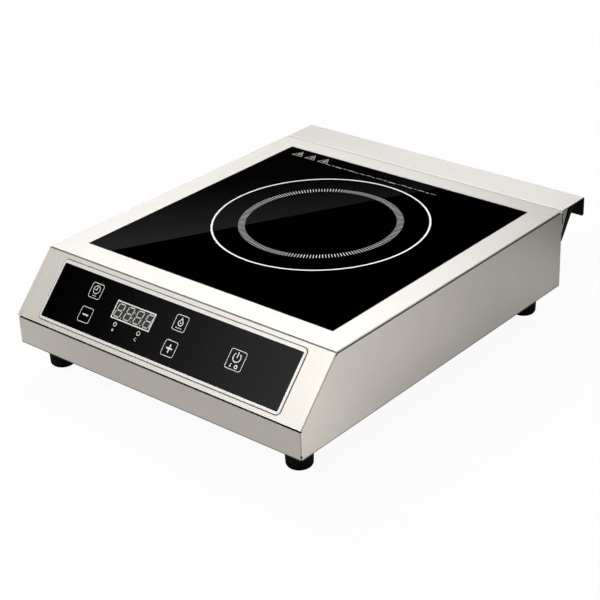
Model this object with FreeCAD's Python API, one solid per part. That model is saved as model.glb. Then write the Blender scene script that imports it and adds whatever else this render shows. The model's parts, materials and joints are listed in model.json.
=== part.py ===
"""Counter-top induction hob: folded steel casing, ceramic glass, coil, fan and electronics.

Frame: X across the width, Y from the control panel (-Y) to the rear guard (+Y), Z up.
The origin is on the surface that the feet stand on, under the centre of the whole hob.
All sizes are in millimetres.
"""
import FreeCAD, Part
import math
import os

from FreeCAD import Placement, Rotation, Vector

# ---------------------------------------------------------------- casing
body_width = 327.0
body_depth = 371.5
body_height = 76.5
guard_depth = 39.0
foot_height = 25.0
fascia_height = 27.6
nose_run = 45.9          # how far back the control slope runs
sheet = 1.0
bend = 1.0               # inside radius of an ordinary fold
nose_bend = 2.3          # inside radius of the fold between the top and the slope
edge_bend = 0.2          # inside radius where the top and the guard meet
top_seam = 1.4           # open joint between the top and the side panels
slope_seam = 0.5         # open joint between the control slope and the side panels
nose_seam = 0.65         # open joint between the control slope and the fascia
relief_radius = 1.0      # round hole at the foot of each front corner, open below
relief_height = 3.5
corner_relief = 1.3      # round notch where the top and slope seams meet
cover_edge = 0.5         # rounding of the cover's long edges
base_edge = 0.8          # rounding of the casing's bottom edges
hem_height = 9.0         # stiffening webs under the cover's long edges
hem_inset = 4.0
gap = 0.1                # ordinary clearance between stacked sheets
flange = 12.0            # inward flanges along the bottom edges

# ---------------------------------------------------------------- rear of the casing
rear_flange = 8.0        # down-turned rear edge of the top cover
guard_drop = 0.3         # the guard sits this much below the top
guard_lip = 19.5
lip_corner = 2.0
ear_run = 9.6
ear_drop = 23.0
slot_width = 1.9
slot_depth = 14.0
louvre_foot = 44.6       # height of the louvre's lower edge above the casing's underside
louvre_stand = 4.2       # the lower edge's distance from the rear panel
louvre_lean = 33.7       # degrees from upright
louvre_thickness = 5.3
louvre_length = 46.0
louvre_tuck = 5.0        # the frame runs this far below its trimmed lower edge

# ---------------------------------------------------------------- glass
glass_size = 280.0
glass_thickness = 4.0
glass_setback = 210.6    # fascia to the middle of the glass
glass_drop = 0.2         # glass surface below the steel
glass_gap = 0.3
ledge_width = 8.0
seal_thickness = 0.7

# ---------------------------------------------------------------- control panel, on the slope
bezel_half_width = 139.0
bezel_low = 4.6
bezel_high = 61.6
bezel_height = 0.8
bezel_gap = 0.8          # open groove around the bezel
gasket_depth = 0.2       # the gasket's face lies this far below the slope's
bezel_flange = 3.0       # the bezel's flange under the slope, beyond its rim
bezel_corner = 4.0
bezel_ledge = 1.2        # thickness of the ledge that the panel rests on
panel_ledge = 2.5        # how far that ledge reaches under the panel
panel_half_width = 136.7
panel_low = 7.0
panel_high = 58.3
panel_thickness = 3.0
key_places = [(-90.0, 44.4), (-89.7, 21.8), (10.5, 44.4), (10.8, 21.6), (78.5, 32.8)]
display_centre = (-39.8, 36.0)
lamp_places = [(-54.2, 24.0), (-26.4, 24.0)]
board_face = -9.0        # front face of the control board, below the slope's outer face
board_thickness = 1.6
tray_back = -15.0
tray_wall = 1.6
tray_half_width = 128.0
stud_radius = 3.2
display_size = (45.0, 15.0)
lamp_radius = 1.5
buzzer_place = (112.0, 34.0)
spring_wire = 0.6
spring_radius = 3.4
spring_turns = 4
spring_gap = 0.05
stud_places = [(-146.0, 14.0), (146.0, 14.0), (-146.0, 52.0), (146.0, 52.0)]

# ---------------------------------------------------------------- coil
coil_setback = 225.8     # fascia to the middle of the cooking ring
coil_inner = 32.0
coil_turns = 20
wire_width = 3.4
former_radius = 102.0
former_sheet = 1.5
former_height = 6.5
inner_lead_y = 45.0      # where the winding's inner end goes down through the former
bridge_sheet = 1.5
bridge_half_width = 150.0
bridge_front = -70.0
bridge_back = 112.0
bridge_height = 61.0     # above the casing's underside
ferrite_count = 8
ferrite_start = 36.0     # nearest and furthest reach of a bar from the coil's axis
ferrite_end = 94.0
ferrite_half = 5.0
sensor_bore = 2.0
boot_stem = 6.0

# ---------------------------------------------------------------- fan
fan_size = 120.0
fan_thickness = 25.0
fan_x = -84.0
fan_y = -86.0
fan_bore = 57.0
fan_corner = 6.0
blade_count = 7
hub_radius = 19.0
hub_wall = 1.8
shaft_radius = 1.5
bearing_radius = 4.0
shaft_clearance = 0.03

# ---------------------------------------------------------------- main board
main_half_width = 140.0
main_front = -18.0
main_back = 122.0
standoff_height = 8.0
standoff_pin = 1.6
sink_left = -130.0
sink_right = -44.0
sink_front = -6.0
sink_length = 116.0
sink_height = 39.0
choke_place = (62.0, 22.0)
choke_outer = 23.0
choke_inner = 15.0
choke_lift = 6.0
choke_height = 14.0
choke_turn = 3.5         # thickness of the winding round the core
lug_xs = (65.0, 77.5, 90.0)  # poles of the mains terminal block
lug_height = 7.0
fuse_y = 104.0
ribbon_x = 30.0
ribbon_width = 20.0

# ---------------------------------------------------------------- cable entry, feet and screws
gland_x = 112.0
gland_height = 22.0      # above the casing's underside
gland_bore = 5.0
gland_thread = 8.0
gland_flats = 20.0
foot_inset_x = 24.4
foot_front_inset = 25.25
foot_rear_inset = 21.9
foot_top_radius = 12.3
foot_radius = 11.3
foot_round = 3.5
screw_radius = 1.5
screw_head = 3.2
screw_head_height = 2.0
screw_play = 0.1
foot_well = 4.6
foot_screw_radius = 2.0
foot_screw_z = 12.0      # underside of a foot screw's head

# ---------------------------------------------------------------- derived positions
overall_depth = body_depth + guard_depth
front = -overall_depth / 2
rear = front + body_depth
back = overall_depth / 2
side = body_width / 2
floor_z = foot_height
top_z = foot_height + body_height
nose_z = foot_height + fascia_height
fold_y = front + nose_run
slope_angle = math.atan2(top_z - nose_z, nose_run)
base_top = floor_z + 2 * sheet
glass_y = front + glass_setback
coil_y = front + coil_setback
glass_top_z = top_z - glass_drop
glass_under = glass_top_z - glass_thickness
ledge_z = glass_under - seal_thickness
rear_panel_face = rear - sheet - gap
guard_z = top_z - guard_drop
guard_front = rear + 1.5 * gap
bridge_z = floor_z + bridge_height
former_floor = bridge_z + former_sheet
former_top = bridge_z + former_height
winding_z = former_top + gap + wire_width / 2
mica_z = winding_z + wire_width / 2 + gap
main_z = base_top + standoff_height
main_top = main_z + board_thickness
gland_z = floor_z + gland_height
foot_x = side - foot_inset_x
foot_spots = {
    "front_left": (-foot_x, front + foot_front_inset),
    "front_right": (foot_x, front + foot_front_inset),
    "rear_left": (-foot_x, rear - foot_rear_inset),
    "rear_right": (foot_x, rear - foot_rear_inset),
}
flange_line = side - flange / 2
base_screw_spots = [(sign * flange_line, y) for sign in (-1, 1) for y in (-150, -40, 70, 150)]
base_screw_spots += [(-80.0, front + flange / 2), (80.0, front + flange / 2)]
rear_base_screw_spots = [(x, rear_panel_face - 6.5) for x in (-90.0, 0.0, 90.0)]
rear_screw_xs = [-140.0, -70.0, 0.0, 70.0, 140.0]
rear_screw_z = top_z - rear_flange / 2 - 1.8
fan_hole_pitch = 105.0
fan_hole_spots = [(fan_x + sx * fan_hole_pitch / 2, fan_y + sy * fan_hole_pitch / 2)
                  for sx in (-1, 1) for sy in (-1, 1)]
standoff_spots = [(x, y) for x in (-134.0, 0.0, 134.0) for y in (main_front + 6, main_back - 6)]
coil_stud_spots = [(-8.0, 88.0), (12.0, 88.0)]

X = Vector(1, 0, 0)
Y = Vector(0, 1, 0)
Z = Vector(0, 0, 1)


# ---------------------------------------------------------------- shape helpers
def box(x0, x1, y0, y1, z0, z1):
    return Part.makeBox(x1 - x0, y1 - y0, z1 - z0, Vector(x0, y0, z0))


def rod(radius, start, length, axis=Z):
    return Part.makeCylinder(radius, length, start, axis)


def tube(outer, inner, start, length, axis=Z):
    return rod(outer, start, length, axis).cut(rod(inner, start, length, axis))


def union(shapes):
    """One solid from shapes that overlap or touch."""
    return shapes[0].multiFuse(shapes[1:]).removeSplitter()


def outline(points, radius=0.0):
    """Closed wire through points, with a tangent arc at each corner that has a radius."""
    count = len(points)
    radii = radius if isinstance(radius, list) else [radius] * count
    corners = []
    for index, corner in enumerate(points):
        behind = (points[index - 1] - corner).normalize()
        ahead = (points[(index + 1) % count] - corner).normalize()
        size = radii[index]
        if size:
            half = behind.getAngle(ahead) / 2
            reach = size / math.tan(half)
            middle = (behind + ahead).normalize() * (size / math.sin(half) - size)
            corners.append((corner + behind * reach, corner + middle, corner + ahead * reach))
        else:
            corners.append((corner,))
    edges = []
    for index, corner in enumerate(corners):
        if len(corner) == 3:
            edges.append(Part.Arc(*corner).toShape())
        start = corner[-1]
        end = corners[(index + 1) % count][0]
        if start.distanceToPoint(end) > 1e-6:
            edges.append(Part.LineSegment(start, end).toShape())
    return Part.Wire(edges)


def prism(points, direction, radius=0.0):
    return Part.Face(outline(points, radius)).extrude(direction)


def slab(x0, x1, y0, y1, z0, z1, radius):
    """A plate with rounded corners, seen along Z."""
    corners = [Vector(x0, y0, z0), Vector(x1, y0, z0), Vector(x1, y1, z0), Vector(x0, y1, z0)]
    return prism(corners, Z * (z1 - z0), radius)


def folded(path, thickness, inside_radius, direction):
    """Folded sheet: the path is its outer face, and the sheet lies to the left of the path
    as seen looking back along the direction that it is pushed in. The inside radius is one
    size, or a list with one for each fold."""
    folds = len(path) - 2
    bends = inside_radius if isinstance(inside_radius, list) else [inside_radius] * folds
    across = Vector(direction).normalize()
    runs = [(path[i + 1] - path[i]).normalize() for i in range(len(path) - 1)]
    normals = [across.cross(run) for run in runs]
    inner = [path[0] + normals[0] * thickness]
    outer_radii = [0.0]
    inner_radii = [0.0]
    for index in range(1, len(path) - 1):
        before = normals[index - 1]
        after = normals[index]
        inner.append(path[index] + (before + after) * (thickness / (1 + before.dot(after))))
        turns_inward = runs[index - 1].cross(runs[index]).dot(across) > 0
        outer_radii.append(bends[index - 1] + (thickness if turns_inward else 0))
        inner_radii.append(bends[index - 1] + (0 if turns_inward else thickness))
    inner.append(path[-1] + normals[-1] * thickness)
    outer_radii.append(0.0)
    inner_radii.append(0.0)
    return prism(path + inner[::-1], direction, outer_radii + inner_radii[::-1])


def lead(points, radius, bend_radius):
    """Round wire along straight runs joined by tangent arcs."""
    edges = []
    start = points[0]
    for index in range(1, len(points) - 1):
        corner = points[index]
        behind = (points[index - 1] - corner).normalize()
        ahead = (points[index + 1] - corner).normalize()
        half = behind.getAngle(ahead) / 2
        reach = bend_radius / math.tan(half)
        middle = (behind + ahead).normalize() * (bend_radius / math.sin(half) - bend_radius)
        edges.append(Part.LineSegment(start, corner + behind * reach).toShape())
        arc = Part.Arc(corner + behind * reach, corner + middle, corner + ahead * reach)
        edges.append(arc.toShape())
        start = corner + ahead * reach
    edges.append(Part.LineSegment(start, points[-1]).toShape())
    heading = (points[1] - points[0]).normalize()
    section = Part.Wire(Part.makeCircle(radius, points[0], heading))
    return Part.Wire(edges).makePipeShell([section], True, False)


def hexagon(across_flats, start, length, axis):
    """Hexagonal prism along Y or Z."""
    size = across_flats / math.sqrt(3)
    sides = []
    for index in range(6):
        angle = math.radians(60 * index)
        sides.append(Vector(size * math.cos(angle), size * math.sin(angle), 0))
    turn = Rotation(Z, axis)
    return prism([start + turn.multVec(point) for point in sides], axis * length)


def pan_screw(at, axis, length, radius=screw_radius, head=screw_head):
    """Pan-head screw: `at` is under the head, and the shank runs along the axis."""
    top = at - axis * screw_head_height
    shank = rod(radius, at - axis * 0.2, length + 0.2, axis)
    cap = Part.makeCone(head * 0.8, head, screw_head_height, top, axis)
    slot = box(-head, head, -0.4, 0.4, -0.1, 0.8)
    slot.Placement = Placement(top, Rotation(Z, axis))
    return union([shank, cap]).cut(slot)


def drilled(shape, spots, radius, z0, z1):
    """Upright holes through a shape."""
    return shape.cut([rod(radius, Vector(x, y, z0), z1 - z0) for x, y in spots])


def group(solids):
    return Part.makeCompound(solids)


def on_slope(shape):
    """Move a shape from the slope's own frame: X across, Y up the slope, Z out of it."""
    place = Placement(Vector(0, front, nose_z), Rotation(X, math.degrees(slope_angle)))
    moved = shape.copy()
    moved.Placement = place.multiply(moved.Placement)
    return moved


def slope_point(v, w, x=0.0):
    """A point given by its distance up the slope and out of it."""
    up = Vector(0, math.cos(slope_angle), math.sin(slope_angle))
    out = Vector(0, -math.sin(slope_angle), math.cos(slope_angle))
    return Vector(x, front, nose_z) + up * v + out * w


def under_skin(y, depth):
    """Height, at y, of a face that runs a given depth below the cover's outer face."""
    level = top_z - depth
    sloping = nose_z + (y - front) * math.tan(slope_angle) - depth / math.cos(slope_angle)
    return min(level, sloping)


# ---------------------------------------------------------------- casing
def profile(y, z, x=-side):
    return Vector(x, y, z)


def ring(half_x, y0, y1, inner_x, iy0, iy1, z0, z1, radius=0.0, inner_radius=0.0):
    """Rectangular frame seen along Z."""
    outer = slab(-half_x, half_x, y0, y1, z0, z1, radius)
    return outer.cut(slab(-inner_x, inner_x, iy0, iy1, z0, z1, inner_radius))


def square_ring(outer, inner, z0, z1):
    """Square frame around the middle of the glass, by half widths."""
    return ring(outer, glass_y - outer, glass_y + outer,
                inner, glass_y - inner, glass_y + inner, z0, z1)


def top_cover():
    """Top and control slope in one folded sheet, with a joggled ledge for the glass."""
    path = [profile(rear, top_z - rear_flange), profile(rear, top_z),
            profile(fold_y, top_z), profile(front, nose_z)]
    skin = folded(path, sheet, [edge_bend, nose_bend], X * body_width)
    long_edges = [edge for edge in skin.Edges
                  if edge.Length > 40 and abs(edge.BoundBox.XLength) < 0.01
                  and edge.BoundBox.ZMax > top_z - 0.01]
    skin = skin.makeFillet(cover_edge, long_edges)
    notch = box(side - 2.5 * sheet, side + 1, rear - 3 * sheet, rear + 1,
                top_z - 20, top_z - sheet)
    skin = skin.cut([notch, notch.mirror(Vector(), X)])
    depth = sheet / 2
    inner_fold = fold_y + depth * math.tan(slope_angle / 2)
    hem_path = [profile(rear - 3, top_z - depth, 0), profile(inner_fold, top_z - depth, 0),
                profile(front + 3, under_skin(front + 3, depth), 0)]
    hem = folded(hem_path, hem_height, bend, X * sheet)
    hem_x = side - hem_inset
    right_hem = hem.translated(X * (hem_x - sheet))
    left_hem = hem.translated(-X * hem_x)
    half = glass_size / 2 + glass_gap
    wall = square_ring(half + sheet, half, ledge_z - sheet, top_z - sheet / 2)
    ledge = square_ring(half + sheet, half - ledge_width, ledge_z - sheet, ledge_z)
    skin = skin.cut(box(-half, half, glass_y - half, glass_y + half, top_z - 2, top_z + 2))
    window_half = bezel_half_width + bezel_gap
    window = slab(-window_half, window_half, bezel_low - bezel_gap, bezel_high + bezel_gap,
                  -3, 3, bezel_corner + bezel_gap)
    skin = skin.cut(on_slope(window))
    studs = []
    for u, v in stud_places:
        pilot = rod(screw_radius, Vector(u, v, tray_back + tray_wall), 8)
        post = rod(stud_radius, Vector(u, v, tray_back + tray_wall),
                   -tray_back - tray_wall - sheet / 2)
        studs.append(on_slope(post.cut(pilot)))
    cover = union([skin, right_hem, left_hem, wall, ledge] + studs)
    shanks = [rod(screw_radius + screw_play, Vector(x, rear - 5, rear_screw_z), 10, Y)
              for x in rear_screw_xs]
    return cover.cut(shanks)


def body_shell():
    """Fascia and both side panels in one wrap, with bottom flanges and rear ears."""
    reach = rear + ear_run
    path = [Vector(-side, reach, floor_z), Vector(-side, front, floor_z),
            Vector(side, front, floor_z), Vector(side, reach, floor_z)]
    wrap = folded(path, sheet, bend, Z * body_height)
    seam_z = top_z - sheet - top_seam
    slope_depth = (sheet + slope_seam) / math.cos(slope_angle)
    corner_y = front + (seam_z - nose_z + slope_depth) / math.tan(slope_angle)
    slot_y = rear + slot_width
    slot_z = top_z - slot_depth
    ear_top = guard_z - sheet - gap
    contour = [
        (front - 1, floor_z - 1), (rear, floor_z - 1), (rear, ear_top - ear_drop + 1),
        (reach, ear_top), (slot_y, ear_top), (slot_y, slot_z), (rear, slot_z),
        (rear, seam_z), (corner_y, seam_z),
        (front - 1, nose_z - math.tan(slope_angle) - slope_depth),
    ]
    cutter = prism([profile(y, z, -side - 1) for y, z in contour], X * (body_width + 2))
    wrap = wrap.common(cutter)
    side_flange = box(side - flange, side - sheet / 2, front + flange + 2, rear,
                      floor_z, floor_z + sheet)
    front_flange = box(-side + flange + 2, side - flange - 2, front + sheet / 2, front + flange,
                       floor_z, floor_z + sheet)
    fascia_top = nose_z - sheet / math.cos(slope_angle) - nose_seam
    nose_cut = box(-side - 1, side + 1, front - 1, front + sheet + bend, fascia_top, nose_z + 5)
    corner_cut = rod(corner_relief, Vector(-side - 1, corner_y, seam_z), body_width + 2, X)
    wrap = wrap.cut([nose_cut, corner_cut])
    shell = union([wrap, side_flange, side_flange.mirror(Vector(), X), front_flange])
    bottom_edges = []
    for edge in shell.Edges:
        bounds = edge.BoundBox
        on_side = max(bounds.XMax, -bounds.XMin) > side - 0.01
        outer = on_side or bounds.YMin < front + 0.01
        if bounds.ZMax < floor_z + 0.01 and outer and edge.Length > 100:
            bottom_edges.append(edge)
    shell = shell.makeFillet(base_edge, bottom_edges)
    relief_reach = 8.0
    reliefs = []
    for sign in (-1, 1):
        corner = Vector(sign * (side + 1), front - 1, floor_z + relief_height)
        inward = Vector(-sign, 1, 0)
        reliefs.append(rod(relief_radius, corner, relief_reach, inward))
        slit = box(-relief_radius / 4, relief_radius / 4, 0, relief_reach, -5, 0)
        slit.Placement = Placement(corner, Rotation(Y, inward))
        reliefs.append(slit)
    shell = shell.cut(reliefs)
    return drilled(shell, base_screw_spots, screw_radius + screw_play, floor_z - 2, floor_z + 3)


def intake_slots():
    """Parallel slots that fill a circle under the fan, split by a bar down the middle."""
    slots = []
    pitch = 9.0
    half_width = pitch / 4
    bar = 5.0
    margin = 4.0
    for step in range(-5, 6):
        offset = step * pitch
        half = math.sqrt(max((fan_bore - 3) ** 2 - offset ** 2, 0.0)) - margin
        y = fan_y + offset
        for x0, x1 in ((fan_x - half, fan_x - bar / 2), (fan_x + bar / 2, fan_x + half)):
            slots.append(slab(x0, x1, y - half_width, y + half_width,
                              floor_z, base_top + 1, half_width - 0.05))
    return slots


def base_plate():
    """Flat floor on the casing's flanges, slotted under the fan and beside it."""
    inset = side - sheet - 2 * gap
    plate = slab(-inset, inset, front + sheet + 2 * gap, rear_panel_face,
                 floor_z + sheet, base_top, 1.5)
    pitch = 11.0
    width = 5.0
    vents = [slab(40 + pitch * i, 40 + pitch * i + width, -130, -80, floor_z, base_top + 1, 2.4)
             for i in range(7)]
    plate = plate.cut(intake_slots() + vents)
    screws = base_screw_spots + rear_base_screw_spots + fan_hole_spots
    plate = drilled(plate, screws, screw_radius + screw_play, floor_z, base_top + 1)
    return drilled(plate, foot_spots.values(), foot_screw_radius + screw_play,
                   floor_z, base_top + 1)


def rear_panel():
    """Upright rear sheet with a foot flange, a row of exhaust slots and the cable entry."""
    half = side - sheet - 3 * gap
    path = [profile(rear_panel_face - flange, base_top, -half),
            profile(rear_panel_face, base_top, -half),
            profile(rear_panel_face, top_z - sheet - bend - gap, -half)]
    panel = folded(path, sheet, bend, X * (2 * half))
    pitch = 6.4
    half_width = 1.8
    slot_z0 = louvre_foot + floor_z + 10
    slot_z1 = top_z - rear_flange - 2
    slots = [box(step * pitch - half_width, step * pitch + half_width,
                 rear - 5, rear, slot_z0, slot_z1) for step in range(-22, 23)]
    entry = rod(gland_thread + 0.1, Vector(gland_x, rear - 5, gland_z), 10, Y)
    shanks = [rod(screw_radius + screw_play, Vector(x, rear - 5, rear_screw_z), 10, Y)
              for x in rear_screw_xs]
    panel = panel.cut(slots + [entry] + shanks)
    return drilled(panel, rear_base_screw_spots, screw_radius + screw_play,
                   base_top - 1, base_top + 3)


def rear_guard():
    """Level shelf behind the top, with a down-turned lip, over the exhaust."""
    half = side - 0.3
    path = [profile(guard_front, top_z - rear_flange, half), profile(guard_front, guard_z, half),
            profile(back, guard_z, half), profile(back, top_z - guard_lip, half)]
    guard = folded(path, sheet, [edge_bend, bend], -X * (2 * half))
    end = box(150, side + 1, guard_front - 1, guard_front + 3, top_z - 20, guard_z - sheet - gap)
    guard = guard.cut([end, end.mirror(Vector(), X)])
    lip_edges = [edge for edge in guard.Edges
                 if edge.BoundBox.ZMax < top_z - guard_lip + 0.01
                 and abs(edge.BoundBox.YLength - sheet) < 0.01]
    guard = guard.makeFillet(lip_corner, lip_edges)
    shanks = [rod(screw_radius + screw_play, Vector(x, rear - 5, rear_screw_z), 10, Y)
              for x in rear_screw_xs]
    return guard.cut(shanks)


def rear_louvre():
    """Leaning exhaust grille between the rear panel and the guard, with slats and ribs."""
    half = side - sheet - 2 * gap
    border = 4.5
    slat_pitch = 4.6
    slat = 1.5
    rib_spacing = 54.0
    rib = 2.0
    face_inset = 0.4
    frame = ring(half, -louvre_tuck, louvre_length, half - border, border, louvre_length - 7,
                 0, louvre_thickness)
    pieces = [frame]
    for step in range(1, 8):
        v = border + step * slat_pitch - 1.2
        pieces.append(box(-half + 1, half - 1, v, v + slat,
                          face_inset, louvre_thickness - face_inset))
    for step in range(-2, 3):
        x = step * rib_spacing
        pieces.append(box(x - rib / 2, x + rib / 2, 1, louvre_length - 1,
                          2 * face_inset, louvre_thickness - 2 * face_inset))
    louvre = union(pieces)
    foot = Vector(0, rear_panel_face + louvre_stand, floor_z + louvre_foot)
    louvre.Placement = Placement(foot, Rotation(X, 90 - louvre_lean))
    room = box(-side, side, rear_panel_face + gap, back, foot.z, guard_z - sheet - gap)
    return louvre.common(room).removeSplitter()


# ---------------------------------------------------------------- glass
def glass_top():
    half = glass_size / 2
    glass = slab(-half, half, glass_y - half, glass_y + half, glass_under, glass_top_z, 1.0)
    rim = [edge for edge in glass.Edges if edge.BoundBox.ZMin > glass_top_z - 0.01]
    return glass.makeFillet(0.4, rim)


def glass_seal():
    """Silicone bed under the glass's rim, with a thin bead up its edge."""
    half = glass_size / 2
    bed = square_ring(half + glass_gap, half - ledge_width + 1, ledge_z, glass_under)
    groove = half + glass_gap
    bead = slab(-groove, groove, glass_y - groove, glass_y + groove,
                glass_under, glass_top_z - 0.6, 0.0)
    core = slab(-half, half, glass_y - half, glass_y + half, glass_under, glass_top_z, 1.0)
    return union([bed, bead.cut(core)])


# ---------------------------------------------------------------- control panel
def control_bezel():
    """Raised frame in an open groove of the slope, held by a flange under the sheet."""
    seat = bezel_height - panel_thickness
    under = seat - bezel_ledge
    rim = slab(-bezel_half_width, bezel_half_width, bezel_low, bezel_high, under, bezel_height,
               bezel_corner)
    upper = [edge for edge in rim.Edges if edge.BoundBox.ZMin > bezel_height - 0.01]
    rim = rim.makeFillet(0.5, upper)
    flange_half = bezel_half_width + bezel_flange
    collar = slab(-flange_half, flange_half, bezel_low - bezel_flange, bezel_high + bezel_flange,
                  under, -sheet, bezel_corner + bezel_flange)
    bezel = union([rim, collar])
    bezel = bezel.cut(slab(-panel_half_width, panel_half_width, panel_low, panel_high,
                           seat, 2, 0.6))
    opening_half = panel_half_width - panel_ledge
    opening = slab(-opening_half, opening_half, panel_low + panel_ledge,
                   panel_high - panel_ledge, -6, 2, 1.0)
    return on_slope(bezel.cut(opening))


def bezel_gasket():
    """Silicone cord that fills the groove around the bezel."""
    outer = bezel_half_width + bezel_gap
    cord = slab(-outer, outer, bezel_low - bezel_gap, bezel_high + bezel_gap,
                -sheet, -gasket_depth, bezel_corner + bezel_gap)
    core = slab(-bezel_half_width, bezel_half_width, bezel_low, bezel_high,
                -sheet, -gasket_depth, bezel_corner)
    return on_slope(cord.cut(core))


def control_glass():
    half = panel_half_width - gap
    seat = bezel_height - panel_thickness
    panel = slab(-half, half, panel_low + gap, panel_high - gap, seat, bezel_height, 0.5)
    rim = [edge for edge in panel.Edges if edge.BoundBox.ZMin > bezel_height - 0.01]
    return on_slope(panel.makeFillet(0.25, rim))


def control_tray():
    """Plastic tray behind the panel that carries the control board."""
    half = tray_half_width
    high = panel_high + 0.5
    floor = slab(-half, half, panel_low, high, tray_back, tray_back + tray_wall, 2.0)
    wall = 1.8
    rim = ring(half, panel_low, high, half - wall, panel_low + wall, high - wall,
               tray_back, board_face + 1.5, 2.0, 1.0)
    ear_half = 5.0
    ear_length = 32.0
    ears = []
    for u, v in stud_places:
        near = half - 8 if u > 0 else -half - 24
        ears.append(slab(near, near + ear_length, v - ear_half, v + ear_half,
                         tray_back, tray_back + tray_wall, 2.0))
    boss_height = board_face - board_thickness - tray_back - 0.5
    bosses = [rod(3.5, Vector(u, v, tray_back + 0.5), boss_height)
              for u in (-116, 0, 116) for v in (14.5, 50.5)]
    tray = union([floor, rim] + ears + bosses)
    tray = drilled(tray, stud_places, screw_radius + screw_play, tray_back - 1, tray_back + 4)
    ribbon_slot = box(ribbon_x - 3, ribbon_x + ribbon_width + 3, 27.5, 32.5,
                      tray_back - 1, tray_back + 4)
    return on_slope(tray.cut(ribbon_slot))


def control_board():
    half = tray_half_width - 3
    board = slab(-half, half, panel_low + 3, panel_high - 2.5, board_face - board_thickness,
                 board_face, 2.0)
    return on_slope(board)


def touch_springs():
    """Square-wire contact springs between the board and the panel, one under each key."""
    room = bezel_height - panel_thickness - board_face
    height = room - spring_wire - 2 * spring_gap
    half = spring_wire / 2
    start = board_face + half + spring_gap
    springs = []
    for u, v in key_places:
        helix = Part.makeHelix(height / spring_turns, height, spring_radius)
        section = Part.makePolygon([Vector(spring_radius + x, 0, z) for x, z in
                                    ((-half, -half), (half, -half), (half, half),
                                     (-half, half), (-half, -half))])
        coil = Part.Wire(helix.Edges).makePipeShell([section], True, True)
        coil.translate(Vector(u, v, start))
        springs.append(on_slope(coil))
    return group(springs)


def display_module():
    """Four-digit display block on the control board."""
    u, v = display_centre
    width, height = display_size
    top = bezel_height - panel_thickness - gap
    block = slab(u - width / 2, u + width / 2, v - height / 2, v + height / 2,
                 board_face, top, 0.6)
    return on_slope(block)


def indicator_leds():
    """Round lamps on the control board, each with a collar at its foot."""
    stem_height = 4.2
    lamps = []
    for u, v in lamp_places:
        foot = Vector(u, v, board_face)
        stem = rod(lamp_radius, foot, stem_height)
        dome = Part.makeSphere(lamp_radius, foot + Z * stem_height)
        collar = rod(lamp_radius + 0.4, foot, 0.8)
        lamps.append(on_slope(union([stem, dome, collar])))
    return group(lamps)


def buzzer():
    u, v = buzzer_place
    can = rod(6.0, Vector(u, v, board_face), 6.0)
    vent = rod(1.0, Vector(u, v, board_face + 3), 5.0)
    return on_slope(can.cut(vent))


def tray_screws():
    return group([on_slope(pan_screw(Vector(u, v, tray_back), Z, 7.0)) for u, v in stud_places])


# ---------------------------------------------------------------- coil
def around_coil(shape, count, phase=0.0):
    """Copies of a shape spaced evenly about the coil's axis."""
    copies = []
    for index in range(count):
        copy = shape.copy()
        copy.rotate(Vector(0, coil_y, 0), Z, phase + 360.0 * index / count)
        copies.append(copy)
    return copies


def coil_winding():
    """Flat winding: one round ridge per turn, in section, turned about the coil's axis."""
    half = wire_width / 2
    waist = 0.35 * half      # neighbouring turns meet this far from the middle level
    last = coil_turns - 1
    centres = [coil_inner + half + index * wire_width for index in range(coil_turns)]
    levels = [0.0] + [waist] * last + [0.0]
    edges = []
    for sign, order in ((1, range(coil_turns)), (-1, range(last, -1, -1))):
        for index in order:
            before = index if sign > 0 else index + 1
            after = before + sign
            start = Vector(centres[index] - sign * half, coil_y,
                           winding_z + sign * levels[before])
            crest = Vector(centres[index], coil_y, winding_z + sign * half)
            end = Vector(centres[index] + sign * half, coil_y,
                         winding_z + sign * levels[after])
            edges.append(Part.Arc(start, crest, end).toShape())
    face = Part.Face(Part.Wire(edges))
    return face.revolve(Vector(0, coil_y, 0), Z, 360)


def coil_former():
    """Moulded disc with raised arms, each with a pocket for a ferrite bar."""
    centre = Vector(0, coil_y, bridge_z)
    hub_outer = 27.0
    hub_inner = 24.0
    arm_half = ferrite_half + 2
    play = 0.2
    disc = rod(former_radius, centre, former_sheet)
    rim = tube(former_radius, former_radius - 2.5, centre, former_height)
    hub = tube(hub_outer, hub_inner, centre, former_height)
    inner_ring = tube(ferrite_start, ferrite_start - 3, centre, former_height)
    arm = box(ferrite_start - 3, former_radius - 1, coil_y - arm_half, coil_y + arm_half,
              bridge_z, former_top)
    body = union([disc, rim, hub, inner_ring] + around_coil(arm, ferrite_count))
    pocket = box(ferrite_start - play, ferrite_end + play, coil_y - ferrite_half - play,
                 coil_y + ferrite_half + play, former_floor, former_top + 1)
    body = body.cut(around_coil(pocket, ferrite_count))
    window = slab(46, 88, coil_y - 6, coil_y + 6, bridge_z - 1, former_floor + 1, 5.0)
    windows = around_coil(window, ferrite_count, 180.0 / ferrite_count)
    sensor_hole = rod(boot_stem + play, Vector(0, coil_y, bridge_z - 1), 4)
    lead_hole = rod(3.2, Vector(coil_stud_spots[0][0], inner_lead_y, bridge_z - 1), 12)
    return body.cut(windows + [sensor_hole]).cut(lead_hole)


def ferrite_bars():
    bar = box(ferrite_start, ferrite_end, coil_y - ferrite_half, coil_y + ferrite_half,
              former_floor, former_top - 0.1)
    return group(around_coil(bar, ferrite_count))


def mica_sheet():
    outer = 100.0
    bore = 12.0
    return tube(outer, bore, Vector(0, coil_y, mica_z), glass_under - gap - mica_z)


def sensor_boot():
    """Silicone boot that holds the temperature sensor against the glass."""
    below = 4.0
    body = rod(9.0, Vector(0, coil_y, former_floor), mica_z - former_floor)
    stem = rod(boot_stem, Vector(0, coil_y, bridge_z - below), former_floor - bridge_z + below)
    hole = rod(sensor_bore, Vector(0, coil_y, bridge_z - below - 1), 30)
    return union([body, stem]).cut(hole)


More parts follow.
